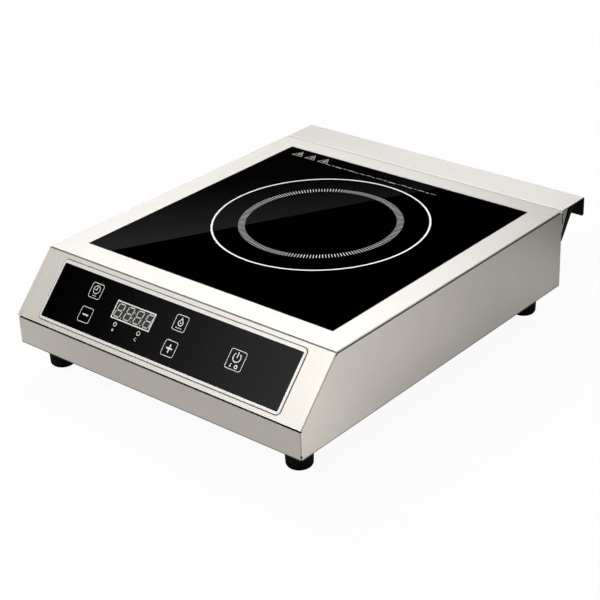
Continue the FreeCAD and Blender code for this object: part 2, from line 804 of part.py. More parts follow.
def glass_sensor():
    """Thermistor disc on the boot, touching the underside of the glass."""
    disc = rod(5.5, Vector(0, coil_y, mica_z), glass_under - mica_z)
    stem = rod(sensor_bore - 0.1, Vector(0, coil_y, mica_z - 6), 6.5)
    return union([disc, stem])


def coil_bridge():
    """Aluminium bridge that carries the coil over the electronics and screens them."""
    reach = side - sheet - 1.5
    foot_z = base_top + bridge_sheet
    spots = [(-reach, foot_z), (-bridge_half_width, foot_z), (-bridge_half_width, bridge_z),
             (bridge_half_width, bridge_z), (bridge_half_width, foot_z), (reach, foot_z)]
    path = [Vector(x, bridge_front, z) for x, z in spots]
    bridge = folded(path, bridge_sheet, 1.5, Y * (bridge_back - bridge_front))
    opening = rod(34, Vector(0, coil_y, bridge_z - 5), 10)
    window_length = 40.0
    window_height = 28.0
    windows = []
    for y in (-42.0, 21.0, 84.0):
        window = slab(-window_length / 2, window_length / 2, -window_height / 2,
                      window_height / 2, -side, side, 6.0)
        window.Placement = Placement(Vector(0, y, floor_z + 32), Rotation(Z, X))
        windows.append(window)
    bridge = bridge.cut([opening] + windows)
    return drilled(bridge, base_screw_spots, screw_radius + screw_play, base_top - 1, base_top + 4)


# ---------------------------------------------------------------- fan
def fan_frame():
    """Square axial fan housing: four struts hold the motor seat on the outlet side."""
    half = fan_size / 2
    top = base_top + fan_thickness
    centre = Vector(fan_x, fan_y, base_top)
    plate = 4.0
    wall = 2.5
    seat_height = 3.0
    body = slab(fan_x - half, fan_x + half, fan_y - half, fan_y + half, base_top, top,
                fan_corner)
    body = body.cut(rod(fan_bore, centre, fan_thickness))
    waist = tube(fan_size, fan_bore + wall, centre + Z * plate, fan_thickness - 2 * plate)
    for x, y in fan_hole_spots:
        waist = waist.cut(rod(fan_corner + 0.5, Vector(x, y, base_top), fan_thickness))
    body = body.cut(waist)
    seat = rod(20, centre + Z * (fan_thickness - seat_height), seat_height)
    bearing = rod(bearing_radius, centre + Z * 7, fan_thickness - 8)
    strut_half = 2.0
    struts = []
    for angle in (45, 135, 225, 315):
        strut = box(fan_x + 15, fan_x + fan_bore + 1, fan_y - strut_half, fan_y + strut_half,
                    top - seat_height, top)
        strut.rotate(centre, Z, angle)
        struts.append(strut)
    body = union([body, seat, bearing] + struts)
    bore = rod(shaft_radius + shaft_clearance, centre, fan_thickness - seat_height)
    body = body.cut(bore)
    return drilled(body, fan_hole_spots, screw_radius + screw_play, base_top - 1, top + 1)


def fan_stator():
    """Motor winding around the bearing tube, inside the rotor's cup."""
    radius = 15.5
    height = 10.0
    slot = 3.0
    place = Vector(fan_x, fan_y, base_top + 9)
    core = tube(radius, bearing_radius + 0.05, place, height)
    slots = []
    for angle in (0, 90, 180, 270):
        cut = box(fan_x + radius / 2, fan_x + 20, fan_y - slot / 2, fan_y + slot / 2,
                  base_top, base_top + 30)
        cut.rotate(place, Z, angle)
        slots.append(cut)
    return core.cut(slots)


def fan_blade():
    """One twisted blade from the hub to the tip, at angle zero."""
    middle = base_top + 12.0
    half_thickness = 0.75
    root = (18.2, 21.0, 46.0)
    waist = (36.0, 26.0, 36.0)
    tip = (55.0, 30.0, 28.0)
    sections = []
    for radius, chord, pitch in (root, waist, tip):
        along = Vector(0, math.cos(math.radians(pitch)), math.sin(math.radians(pitch)))
        normal = X.cross(along)
        centre = Vector(radius, 0, middle)
        corners = [centre + along * (s * chord / 2) + normal * (t * half_thickness)
                   for s, t in ((-1, -1), (1, -1), (1, 1), (-1, 1))]
        sections.append(outline(corners))
    return Part.makeLoft(sections, True, False)


def fan_rotor():
    """Hub cup, shaft and blades, turning about an upright axis."""
    hub_floor = base_top + 3
    cup = rod(hub_radius, Vector(0, 0, hub_floor), 18)
    cup = cup.cut(rod(hub_radius - hub_wall, Vector(0, 0, hub_floor + hub_wall), 20))
    shaft = rod(shaft_radius, Vector(0, 0, hub_floor + 1), 17.5)
    blades = []
    for index in range(blade_count):
        blade = fan_blade()
        blade.rotate(Vector(), Z, 360.0 * index / blade_count)
        blades.append(blade)
    rotor = union([cup, shaft] + blades)
    rotor.translate(Vector(fan_x, fan_y, 0))
    return rotor


def fan_screws():
    return group([pan_screw(Vector(x, y, base_top + fan_thickness), -Z, fan_thickness + 2)
                  for x, y in fan_hole_spots])


# ---------------------------------------------------------------- main board and what is on it
def main_board():
    board = slab(-main_half_width, main_half_width, main_front, main_back, main_z, main_top, 3.0)
    return drilled(board, standoff_spots, standoff_pin + screw_play, main_z - 1, main_top + 1)


def board_standoffs():
    """Nylon snap-in posts between the floor and the main board."""
    posts = []
    for x, y in standoff_spots:
        post = hexagon(7.0, Vector(x, y, base_top), standoff_height, Z)
        pin = rod(standoff_pin, Vector(x, y, main_z - 4), 4 + board_thickness + 1)
        head = Part.makeCone(2.8, standoff_pin, 2.2, Vector(x, y, main_top), Z)
        posts.append(union([post, pin, head]))
    return group(posts)


def on_board(x0, x1, y0, y1, height, radius=0.8):
    """A block standing on the main board."""
    return slab(x0, x1, y0, y1, main_top, main_top + height, radius)


def heat_sink():
    """Finned extrusion in the fan's air stream, fins along Y."""
    fin = 2.0
    fins = 12
    pitch = (sink_right - sink_left - fin) / (fins - 1)
    base = main_top + 6.0
    crest = main_top + sink_height
    points = [(sink_left, main_top), (sink_right, main_top)]
    for index in range(fins):
        outer = sink_right - index * pitch
        points += [(outer, crest), (outer - fin, crest)]
        if index < fins - 1:
            points += [(outer - fin, base), (outer - pitch, base)]
    return prism([Vector(x, sink_front, z) for x, z in points], Y * sink_length)


def flat_pack(y, width, height, legs):
    """A flat power package on the side of the heat sink, with its legs in the board."""
    face = sink_right
    thickness = 4.8
    lift = 5.0
    body = box(face, face + thickness, y - width / 2, y + width / 2,
               main_top + lift, main_top + lift + height)
    hole = rod(1.8, Vector(face - 0.5, y, main_top + height), 6, X)
    leg_half = 0.7
    pins = []
    for index in range(legs):
        leg_y = y + (index - (legs - 1) / 2) * (width - 5) / (legs - 1)
        pins.append(box(face + 2, face + 2.8, leg_y - leg_half, leg_y + leg_half,
                        main_top, main_top + lift + 0.5))
    return union([body.cut(hole)] + pins)


def power_transistors():
    return group([flat_pack(15, 16, 21, 3), flat_pack(42, 16, 21, 3)])


def bridge_rectifier():
    return flat_pack(80, 30, 20, 4)


def resonant_capacitors():
    return group([on_board(-29, 13, y, y + 20, 30, 1.2) for y in (-8, 18)])


def filter_capacitor():
    return on_board(-24, 8, 52, 66, 22, 1.0)


def choke_core():
    centre = Vector(*choke_place, main_top + choke_lift)
    return tube(choke_outer, choke_inner, centre, choke_height)


def choke_winding():
    """Copper around most of the core, ribbed like its turns."""
    centre = Vector(*choke_place, main_top + choke_lift - choke_turn)
    height = choke_height + 2 * choke_turn
    shell = tube(choke_outer + choke_turn, choke_inner - choke_turn, centre, height)
    shell = shell.cut(tube(choke_outer, choke_inner, centre + Z * choke_turn, choke_height))
    turns = 30
    grooves = []
    for index in range(turns):
        groove = box(choke_outer + choke_turn - 0.9, choke_outer + choke_turn + 1.5,
                     -0.5, 0.5, -1, height + 1)
        groove.rotate(Vector(), Z, 360.0 / turns * index)
        grooves.append(groove.translated(centre))
    sector = prism([centre - Z, centre + Vector(40, 12, -1), centre + Vector(40, -12, -1)], Z * 30)
    return shell.cut(grooves).cut(sector)


def electrolytic_capacitors():
    height = 30.0
    cans = []
    for y in (4.0, 28.0):
        can = rod(9.0, Vector(112, y, main_top), height)
        rim = [edge for edge in can.Edges if edge.BoundBox.ZMin > main_top + height - 0.1]
        cans.append(can.makeFillet(1.2, rim))
    return group(cans)


def switching_transformer():
    """Ferrite core in two halves around a square bobbin."""
    x0, x1 = 92.0, 122.0
    limbs = [box(x0, x1, y, y + 8, main_top, main_top + 26) for y in (52.0, 72.0)]
    bobbin = box(x0 + 3, x1 - 3, 54, 78, main_top, main_top + 22)
    return union(limbs + [bobbin])


def relay():
    return on_board(48, 76, 60, 74, 24, 1.0)


def fuse():
    """Glass tube fuse with a cap at each end, lying along X."""
    axis_z = main_top + 7
    start = 76.0
    length = 32.0
    cap_length = 7.0
    glass = rod(2.6, Vector(start, fuse_y, axis_z), length, X)
    caps = [tube(3.2, 2.6, Vector(x, fuse_y, axis_z), cap_length, X)
            for x in (start, start + length - cap_length)]
    return union([glass] + caps)


def fuse_clips():
    """Folded spring clips that grip the fuse's caps."""
    width = 4.0
    half = 4.4
    wall = 0.8
    clips = []
    for x in (77.5, 102.5):
        clip = box(x, x + width, fuse_y - half, fuse_y + half, main_top, main_top + 9)
        inside = box(x - 1, x + width + 1, fuse_y - half + wall, fuse_y + half - wall,
                     main_top + 1, main_top + 10)
        saddle = box(x, x + width, fuse_y - 2.5, fuse_y + 2.5, main_top + 1, main_top + 3.6)
        clips.append(union([clip.cut(inside), saddle]))
    return group(clips)


def coil_terminals():
    studs = []
    for x, y in coil_stud_spots:
        foot = hexagon(9.0, Vector(x, y, main_top), 4.0, Z)
        studs.append(union([foot, rod(3.0, Vector(x, y, main_top + 3), 8)]))
    return group(studs)


def terminal_block():
    """Three-pole mains terminal block on the casing's floor."""
    near_y = 130.0
    far_y = 148.0
    entry = 2.6
    block = slab(lug_xs[0] - 7, lug_xs[-1] + 7, near_y, far_y, base_top, base_top + 18, 1.2)
    wells = []
    for x in lug_xs:
        wells.append(rod(3.2, Vector(x, (near_y + far_y) / 2, base_top + 12), 8))
        for y in (near_y - 1, far_y - 5):
            wells.append(rod(entry, Vector(x, y, base_top + lug_height), 6, Y))
    return block.cut(wells)


# ---------------------------------------------------------------- wiring held inside the casing
def coil_leads():
    """Two heavy leads from the winding's ends down to the board's studs."""
    (x0, y0), (x1, y1) = coil_stud_spots
    radius = 1.7
    inner_edge = coil_y + coil_inner - 1.4
    outer_edge = coil_y + coil_inner + coil_turns * wire_width + 0.1
    outer_lead_y = 127.0
    low = main_top + 11
    inner = [Vector(x0, inner_edge, winding_z), Vector(x0, inner_lead_y, winding_z),
             Vector(x0, inner_lead_y, 62), Vector(x0, y0, 62), Vector(x0, y0, low)]
    outer = [Vector(x1, outer_edge, winding_z), Vector(x1, outer_lead_y, winding_z),
             Vector(x1, outer_lead_y, 60), Vector(x1, y1, 60), Vector(x1, y1, low)]
    return group([lead(inner, radius, 2.4), lead(outer, radius, 3.0)])


def ribbon_cable():
    """Flat cable from the control board, under the coil bridge, to the main board."""
    x = ribbon_x
    level = main_top + 14.0
    plug_y = -11.0
    plug_height = 7.0
    path = [slope_point(30, board_face - board_thickness, x), slope_point(30, -26, x),
            Vector(x, -120, level), Vector(x, plug_y, level),
            Vector(x, plug_y, main_top + plug_height - 1)]
    strip = folded(path, 0.9, 3.0, X * ribbon_width)
    plug = box(x - 2, x + ribbon_width + 2, plug_y - 5, plug_y + 4,
               main_top, main_top + plug_height)
    return union([strip, plug])


def fan_lead():
    """Thin lead from the fan's corner to its plug on the main board."""
    x = -18.0
    start_y = -60.0
    plug_y = -12.5
    z = base_top + 20
    plug = box(x - 4, x + 4, plug_y - 3.5, plug_y + 3.5, main_top, main_top + 7)
    points = [Vector(fan_x + fan_size / 2, start_y, z), Vector(x, start_y, z),
              Vector(x, plug_y, z + 4), Vector(x, plug_y, main_top + 6.5)]
    return union([lead(points, 1.2, 2.5), plug])


def mains_leads():
    """Three leads from the terminal block to the main board."""
    z = base_top + lug_height
    rise_y = 126.0
    board_y = 116.0
    wires = []
    for x in lug_xs:
        points = [Vector(x, 134.5, z), Vector(x, rise_y, z), Vector(x, rise_y, z + 13),
                  Vector(x, board_y, z + 13), Vector(x, board_y, main_top)]
        wires.append(lead(points, 1.4, 3.0))
    return group(wires)


# ---------------------------------------------------------------- cable entry
def gland_body():
    """Threaded cable gland through the rear panel, with a hexagonal shoulder."""
    inward = 13.0
    outward = 18.0
    start = Vector(gland_x, rear_panel_face - inward, gland_z)
    barrel = rod(gland_thread, start, inward + outward, Y)
    shoulder = hexagon(gland_flats, Vector(gland_x, rear_panel_face, gland_z), 5.0, Y)
    bore = rod(gland_bore, start - Y, 60, Y)
    return union([barrel, shoulder]).cut(bore)


def gland_cap():
    """Domed nut that closes on the cable."""
    start = Vector(gland_x, rear_panel_face + 5.2, gland_z)
    grip = hexagon(gland_flats, start, 8.0, Y)
    dome = Part.makeCone(10.0, 7.5, 9.0, start + Y * 7.5, Y)
    thread = rod(gland_thread + gap, start - Y, 14.1, Y)
    mouth = rod(gland_bore + 0.2, start - Y, 30, Y)
    return union([grip, dome]).cut([thread, mouth])


def gland_locknut():
    thickness = 5.0
    start = Vector(gland_x, rear_panel_face - sheet - thickness, gland_z)
    nut = hexagon(gland_flats + 2, start, thickness, Y)
    return nut.cut(rod(gland_thread + 0.05, start - Y, 8, Y))


# ---------------------------------------------------------------- feet and fasteners
def foot(x, y):
    """Slightly tapered rubber foot with a rounded tread and a screw well."""
    seat = floor_z + sheet
    body = Part.makeCone(foot_radius, foot_top_radius, seat, Vector(x, y, 0), Z)
    tread = [edge for edge in body.Edges if edge.BoundBox.ZMax < 0.01]
    body = body.makeFillet(foot_round, tread)
    well = rod(foot_well, Vector(x, y, -1), foot_screw_z + 1)
    shank = rod(foot_screw_radius + screw_play, Vector(x, y, 0), seat + 1)
    return body.cut([well, shank])


def foot_screws():
    return group([pan_screw(Vector(x, y, foot_screw_z), Z, 19.0, foot_screw_radius, 4.2)
                  for x, y in foot_spots.values()])


def base_screws():
    screws = [pan_screw(Vector(x, y, floor_z), Z, 6.0) for x, y in base_screw_spots]
    screws += [pan_screw(Vector(x, y, floor_z + sheet), Z, 5.0) for x, y in rear_base_screw_spots]
    return group(screws)


def rear_screws():
    y = guard_front + sheet
    return group([pan_screw(Vector(x, y, rear_screw_z), -Y, 8.0) for x in rear_screw_xs])


# ---------------------------------------------------------------- the whole hob
def parts():
    nodes = {
        "top_cover": top_cover(),
        "body_shell": body_shell(),
        "base_plate": base_plate(),
        "rear_panel": rear_panel(),
        "rear_guard": rear_guard(),
        "rear_louvre": rear_louvre(),
        "glass_top": glass_top(),
        "glass_seal": glass_seal(),
        "control_bezel": control_bezel(),
        "bezel_gasket": bezel_gasket(),
        "control_glass": control_glass(),
        "control_tray": control_tray(),
        "control_board": control_board(),
        "touch_springs": touch_springs(),
        "display_module": display_module(),
        "indicator_leds": indicator_leds(),
        "buzzer": buzzer(),
        "tray_screws": tray_screws(),
        "mica_sheet": mica_sheet(),
        "coil_winding": coil_winding(),
        "coil_former": coil_former(),
        "ferrite_bars": ferrite_bars(),
        "sensor_boot": sensor_boot(),
        "glass_sensor": glass_sensor(),
        "coil_bridge": coil_bridge(),
        "fan_frame": fan_frame(),
        "fan_stator": fan_stator(),
        "fan_rotor": fan_rotor(),
        "fan_screws": fan_screws(),
        "main_board": main_board(),
        "board_standoffs": board_standoffs(),
        "heat_sink": heat_sink(),
        "power_transistors": power_transistors(),
        "bridge_rectifier": bridge_rectifier(),
        "resonant_capacitors": resonant_capacitors(),
        "filter_capacitor": filter_capacitor(),
        "choke_core": choke_core(),
        "choke_winding": choke_winding(),
        "electrolytic_capacitors": electrolytic_capacitors(),
        "switching_transformer": switching_transformer(),
        "relay": relay(),
        "fuse": fuse(),
        "fuse_clips": fuse_clips(),
        "coil_terminals": coil_terminals(),
        "terminal_block": terminal_block(),
        "coil_leads": coil_leads(),
        "ribbon_cable": ribbon_cable(),
        "fan_lead": fan_lead(),
        "mains_leads": mains_leads(),
        "gland_body": gland_body(),
        "gland_cap": gland_cap(),
        "gland_locknut": gland_locknut(),
        "foot_screws": foot_screws(),
        "base_screws": base_screws(),
        "rear_screws": rear_screws(),
    }
    for name, (x, y) in foot_spots.items():
        nodes["foot_" + name] = foot(x, y)
    return nodes


def main():
    os.makedirs("parts", exist_ok=True)
    for name, shape in parts().items():
        shape.exportStep("parts/" + name + ".step")
        bounds = shape.BoundBox
        print("%-24s solids %2d  volume %9.0f mm3  z %6.1f to %6.1f  valid %s"
              % (name, len(shape.Solids), shape.Volume, bounds.ZMin, bounds.ZMax, shape.isValid()))


main()
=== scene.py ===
# Looks of the counter-top induction hob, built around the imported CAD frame.
import json
import math

import bmesh
import bpy
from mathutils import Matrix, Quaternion, Vector


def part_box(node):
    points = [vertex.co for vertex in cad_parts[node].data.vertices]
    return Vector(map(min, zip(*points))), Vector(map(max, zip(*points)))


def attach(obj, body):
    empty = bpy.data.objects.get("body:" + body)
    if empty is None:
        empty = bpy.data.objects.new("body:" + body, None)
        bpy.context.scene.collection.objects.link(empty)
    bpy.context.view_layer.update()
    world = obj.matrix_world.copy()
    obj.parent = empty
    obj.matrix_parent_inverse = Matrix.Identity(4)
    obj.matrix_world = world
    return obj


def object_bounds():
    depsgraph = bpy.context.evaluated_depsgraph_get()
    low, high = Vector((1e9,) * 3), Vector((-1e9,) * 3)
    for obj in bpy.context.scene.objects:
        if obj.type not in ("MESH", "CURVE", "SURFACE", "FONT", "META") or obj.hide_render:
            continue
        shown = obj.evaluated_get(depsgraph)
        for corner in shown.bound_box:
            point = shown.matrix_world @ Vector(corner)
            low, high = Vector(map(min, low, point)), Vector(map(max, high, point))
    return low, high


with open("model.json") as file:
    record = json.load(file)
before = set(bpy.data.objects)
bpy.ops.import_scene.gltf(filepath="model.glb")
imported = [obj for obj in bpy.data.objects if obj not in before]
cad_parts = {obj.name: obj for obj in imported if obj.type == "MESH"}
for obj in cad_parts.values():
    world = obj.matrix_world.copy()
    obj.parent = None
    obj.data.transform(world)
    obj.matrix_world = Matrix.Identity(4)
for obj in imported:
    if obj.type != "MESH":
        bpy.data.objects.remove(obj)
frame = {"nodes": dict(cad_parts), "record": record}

cad_low, cad_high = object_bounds()
nodes = frame["nodes"]

MM = 0.001
X = Vector((1, 0, 0))
Y = Vector((0, 1, 0))
Z = Vector((0, 0, 1))

# ---------------------------------------------------------------- sizes shared with the CAD
FOOT_HEIGHT = 25.0 * MM
FASCIA_HEIGHT = 27.6 * MM
NOSE_RUN = 45.9 * MM          # how far back the control slope runs
PANEL_PROUD = 0.8 * MM        # the panel's face stands this much out of the slope
DISPLAY_PLACE = (-39.8 * MM, 36.0 * MM)

# ---------------------------------------------------------------- printed lines
PRINT_LIFT = 0.005 * MM       # gap between a face and the print on it
PRINT_HEIGHT = 0.03 * MM
KEY_LINE = 0.55 * MM
KEY_CORNER = 2.0 * MM
SIGN_LINE = 1.35 * MM         # stroke of the plus and minus signs
PRINT_SHIFT = 0.6 * MM        # keys and display are printed this much right of their CAD places
DISPLAY_CENTRE = (DISPLAY_PLACE[0] + PRINT_SHIFT, DISPLAY_PLACE[1])
ARC_STEP = math.radians(3)

front_y = cad_low.y
top_z = cad_high.z
nose_z = FOOT_HEIGHT + FASCIA_HEIGHT
slope_angle = math.atan2(top_z - nose_z, NOSE_RUN)


class Network:
    """Adds linked nodes to a node tree."""

    def __init__(self, tree):
        self.tree = tree

    def feed(self, socket, value):
        if isinstance(value, bpy.types.NodeSocket):
            self.tree.links.new(value, socket)
        else:
            socket.default_value = value

    def add(self, kind, inputs=(), **settings):
        node = self.tree.nodes.new(kind)
        for name, value in settings.items():
            setattr(node, name, value)
        for name, value in dict(inputs).items():
            self.feed(node.inputs[name], value)
        return node


def new_material(name):
    material = bpy.data.materials.new(name)
    material.use_nodes = True
    return material


def placed(name, data):
    """A new object in the scene."""
    thing = bpy.data.objects.new(name, data)
    bpy.context.scene.collection.objects.link(thing)
    return thing


def box_corners(low, high):
    """The 2-D corners of an upright box, anticlockwise from the lowest."""
    return [(low[0], low[1]), (high[0], low[1]), (high[0], high[1]), (low[0], high[1])]


# ================================================================ procedural materials
class Surface(Network):
    """A Principled material whose detail is worked out in real sizes on the piece itself."""

    def __init__(self, name, metallic=0.0, roughness=0.5, fixed=()):
        self.material = new_material(name)
        super().__init__(self.material.node_tree)
        self.shader = self.tree.nodes["Principled BSDF"]
        self.set("Metallic", metallic)
        self.set("Roughness", roughness)
        for socket, value in dict(fixed).items():
            self.set(socket, value)
        self.place = self.add("ShaderNodeTexCoord").outputs["Object"]

    def set(self, socket, value):
        self.feed(self.shader.inputs[socket], value)

    def scaled(self, sizes):
        """Coordinates in which a feature measures `sizes` metres along X, Y and Z."""
        scale = [1 / size for size in sizes]
        mapping = self.add("ShaderNodeMapping", {"Vector": self.place, "Scale": scale})
        return mapping.outputs["Vector"]

    def noise(self, sizes, detail=3.0, rough=0.55):
        texture = self.add("ShaderNodeTexNoise", {
            "Vector": self.scaled(sizes), "Scale": 1.0, "Detail": detail, "Roughness": rough})
        return texture.outputs["Fac"]

    def cells(self, size, feature="F1"):
        texture = self.add("ShaderNodeTexVoronoi",
                           {"Vector": self.scaled((size,) * 3), "Scale": 1.0}, feature=feature)
        return texture.outputs["Distance"]

    def within(self, low, high):
        """1 inside a box given by its corners, 0 outside it."""
        inside = 1.0
        parts = self.add("ShaderNodeSeparateXYZ", {"Vector": self.place}).outputs
        for axis in range(3):
            for operation, limit in (("GREATER_THAN", low[axis]), ("LESS_THAN", high[axis])):
                test = self.add("ShaderNodeMath", {0: parts[axis], 1: limit}, operation=operation)
                both = {0: inside, 1: test.outputs[0]}
                inside = self.add("ShaderNodeMath", both, operation="MULTIPLY").outputs[0]
        return inside

    def spread(self, value, low, high, out_low, out_high):
        """The value's stretch from low to high, laid over out_low to out_high."""
        node = self.add("ShaderNodeMapRange", {
            "Value": value, "From Min": low, "From Max": high,
            "To Min": out_low, "To Max": out_high})
        return node.outputs["Result"]

    def blend(self, share, first, second):
        node = self.add("ShaderNodeMix", data_type="RGBA")
        self.feed(node.inputs[0], share)
        for index, colour in ((6, first), (7, second)):
            is_socket = isinstance(colour, bpy.types.NodeSocket)
            self.feed(node.inputs[index], colour if is_socket else (*colour, 1.0))
        return node.outputs[2]

    def bump(self, height, depth, strength=0.5):
        node = self.add("ShaderNodeBump",
                        {"Height": height, "Distance": depth, "Strength": strength})
        self.set("Normal", node.outputs["Normal"])


def shade(colour, factor):
    return tuple(channel * factor for channel in colour)


STEEL = (0.640, 0.625, 0.598)
FINE = 0.30 * MM             # width of a brushing scratch
LONG = 28.0 * MM             # length of one


def brushed(name, grain, spread_axis, colour=STEEL, roughness=0.40, contrast=0.20, painted_zones=()):
    """Brushed sheet: `grain` is the size of one scratch along X, Y and Z. Each painted zone is a
    box, by its low and high corners, and the painted light or shade of the sheet inside it."""
    surface = Surface(name, 1.0, roughness, {"Anisotropic": 0.55})
    fine = surface.noise(grain, 4.0, 0.65)
    broad = surface.noise([12 * size for size in grain], 3.0)
    cloud = surface.noise((26 * MM,) * 3, 4.0, 0.6)
    streaked = surface.blend(surface.spread(fine, 0.3, 0.7, 0, 1),
                             shade(colour, 1 - contrast), shade(colour, 1 + 0.4 * contrast))
    banded = surface.blend(surface.spread(broad, 0.35, 0.65, 0, 0.5), streaked,
                           shade(colour, 1 - 0.5 * contrast))
    clouded = surface.blend(surface.spread(cloud, 0.35, 0.7, 0, 0.8), banded, shade(colour, 0.90))
    # painted light and shade: inside each zone's box the sheet takes that zone's lightness
    for low, high, lightness in painted_zones:
        clouded = surface.blend(surface.within(low, high), clouded, shade(colour, lightness))
    surface.set("Base Color", clouded)
    surface.set("Roughness", surface.spread(fine, 0.3, 0.7, roughness - 0.04, roughness + 0.05))
    tangent = surface.add("ShaderNodeCombineXYZ", zip("XYZ", spread_axis))
    surface.set("Tangent", tangent.outputs["Vector"])
    surface.bump(fine, 0.01 * MM, 0.25)
    return surface.material


def plain_metal(name, colour, roughness, grain=(0.4 * MM,) * 3, contrast=0.08,
                depth=0.01 * MM, metallic=1.0):
    """Machined or plated metal with a fine mottle."""
    surface = Surface(name, metallic, roughness)
    mottle = surface.noise(grain, 4.0, 0.6)
    surface.set("Base Color", surface.blend(mottle, shade(colour, 1 - contrast),
                                            shade(colour, 1 + 0.5 * contrast)))
    surface.set("Roughness", surface.spread(mottle, 0.3, 0.7, roughness - 0.05, roughness + 0.08))
    surface.bump(mottle, depth, 0.3)
    return surface.material


def moulded(name, colour, roughness, texture=0.5 * MM, depth=0.03 * MM, fixed=()):
    """Plastic or rubber with a fine moulded texture and slight unevenness of colour."""
    surface = Surface(name, 0.0, roughness, fixed)
    grain = surface.noise((texture,) * 3, 3.0)
    cloud = surface.noise((14 * MM,) * 3, 2.0)
    surface.set("Base Color", surface.blend(cloud, shade(colour, 0.86), shade(colour, 1.12)))
    surface.set("Roughness", surface.spread(grain, 0.3, 0.7, roughness - 0.08, roughness + 0.08))
    surface.bump(grain, depth, 0.4)
    return surface.material


def polished_glass(name, colour):
    """Black glass, perfectly polished, with a faint unevenness in its depth of colour."""
    surface = Surface(name, 0.0, 0.0, {"IOR": 1.5})
    film = surface.noise((45 * MM,) * 3, 3.0)
    surface.set("Base Color", surface.blend(film, shade(colour, 0.8), shade(colour, 1.2)))
    return surface.material


def zinc_sheet():
    """Galvanised sheet with its crystal spangle."""
    surface = Surface("zinc_sheet", 1.0, 0.42)
    spangle = surface.cells(7 * MM)
    grain = surface.noise((0.6 * MM,) * 3, 3.0)
    surface.set("Base Color", surface.blend(spangle, (0.50, 0.52, 0.54), (0.66, 0.67, 0.68)))
    surface.set("Roughness", surface.spread(spangle, 0.1, 0.7, 0.34, 0.5))
    surface.bump(grain, 0.01 * MM, 0.3)
    return surface.material


def circuit_board():
    """Green solder mask over a grid of tracks."""
    surface = Surface("circuit_board", 0.0, 0.35, {"Coat Weight": 0.3})
    tracks = surface.add("ShaderNodeTexBrick", {
        "Vector": surface.scaled((1.0,) * 3), "Scale": 160.0, "Mortar Size": 0.12,
        "Color1": (0, 0, 0, 1), "Color2": (0.25, 0.25, 0.25, 1), "Mortar": (1, 1, 1, 1)})
    weave = surface.noise((0.5 * MM,) * 3, 2.0)
    mask = surface.blend(weave, (0.012, 0.085, 0.035), (0.018, 0.11, 0.045))
    surface.set("Base Color", surface.blend(tracks.outputs["Color"], mask, (0.03, 0.17, 0.07)))
    surface.bump(tracks.outputs["Fac"], 0.035 * MM, 0.4)
    return surface.material


def enamelled_copper():
    """Stranded winding wire: strands cross each turn at a slant."""
    surface = Surface("enamelled_copper", 1.0, 0.32, {"Coat Weight": 0.4})
    strands = surface.noise((0.35 * MM, 0.35 * MM, 1.2 * MM), 3.0)
    surface.set("Base Color", surface.blend(surface.spread(strands, 0.35, 0.65, 0, 1),
                                            (0.36, 0.11, 0.035), (0.80, 0.36, 0.15)))
    surface.bump(strands, 0.08 * MM, 0.6)
    return surface.material


def flaked(name, colour, flake, size, roughness):
    """Pressed mica or ferrite: flakes of a second tone in the body colour."""
    surface = Surface(name, 0.0, roughness)
    cells = surface.cells(size)
    surface.set("Base Color", surface.blend(surface.spread(cells, 0.1, 0.6, 0, 1), flake, colour))
    surface.bump(cells, 0.02 * MM, 0.4)
    return surface.material


def striped(name, first, second, pitch, axis, roughness=0.45):
    """Alternate stripes across one axis, as on a flat cable or a wound tape."""
    surface = Surface(name, 0.0, roughness)
    wave = surface.add("ShaderNodeTexWave", {
        "Vector": surface.scaled((pitch * 2 / math.pi,) * 3), "Scale": 1.0, "Distortion": 0.0},
        bands_direction=axis)
    grain = surface.noise((1.5 * MM,) * 3, 3.0)
    tone = surface.blend(surface.spread(wave.outputs["Fac"], 0.35, 0.65, 0, 1), first, second)
    surface.set("Base Color", surface.blend(surface.spread(grain, 0.3, 0.7, 0, 0.2), tone,
                                            shade(first, 0.6)))
    surface.bump(wave.outputs["Fac"], 0.15 * MM, 0.6)
    return surface.material


def cores(name):
    """The three cores of a mains lead, told apart by where they lie across the hob."""
    low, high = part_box("mains_leads")
    surface = Surface(name, 0.0, 0.42)
    across = surface.add("ShaderNodeSeparateXYZ", {"Vector": surface.place}).outputs["X"]
    third = (high.x - low.x) / 3
    tone = surface.blend(surface.spread(across, low.x + third, low.x + third + 0.1 * MM, 0, 1),
                         (0.16, 0.055, 0.02), (0.02, 0.07, 0.30))
    tone = surface.blend(surface.spread(across, high.x - third, high.x - third + 0.1 * MM, 0, 1),
                         tone, (0.05, 0.26, 0.05))
    grain = surface.noise((0.8 * MM,) * 3, 3.0)
    surface.set("Base Color", surface.blend(surface.spread(grain, 0.3, 0.7, 0, 0.15), tone,
                                            (0.01, 0.01, 0.01)))
    surface.bump(grain, 0.02 * MM, 0.3)
    return surface.material


def ink(name, colour, roughness=0.42, lustre=0.0):
    """Fired enamel print: slightly uneven, with a fine grain and, if wanted, a metallic lustre."""
    surface = Surface(name, lustre, roughness)
    grain = surface.noise((0.4 * MM,) * 3, 3.0)
    surface.set("Base Color", surface.blend(grain, shade(colour, 0.88), shade(colour, 1.06)))
    surface.bump(grain, 0.01 * MM, 0.3)
    return surface.material


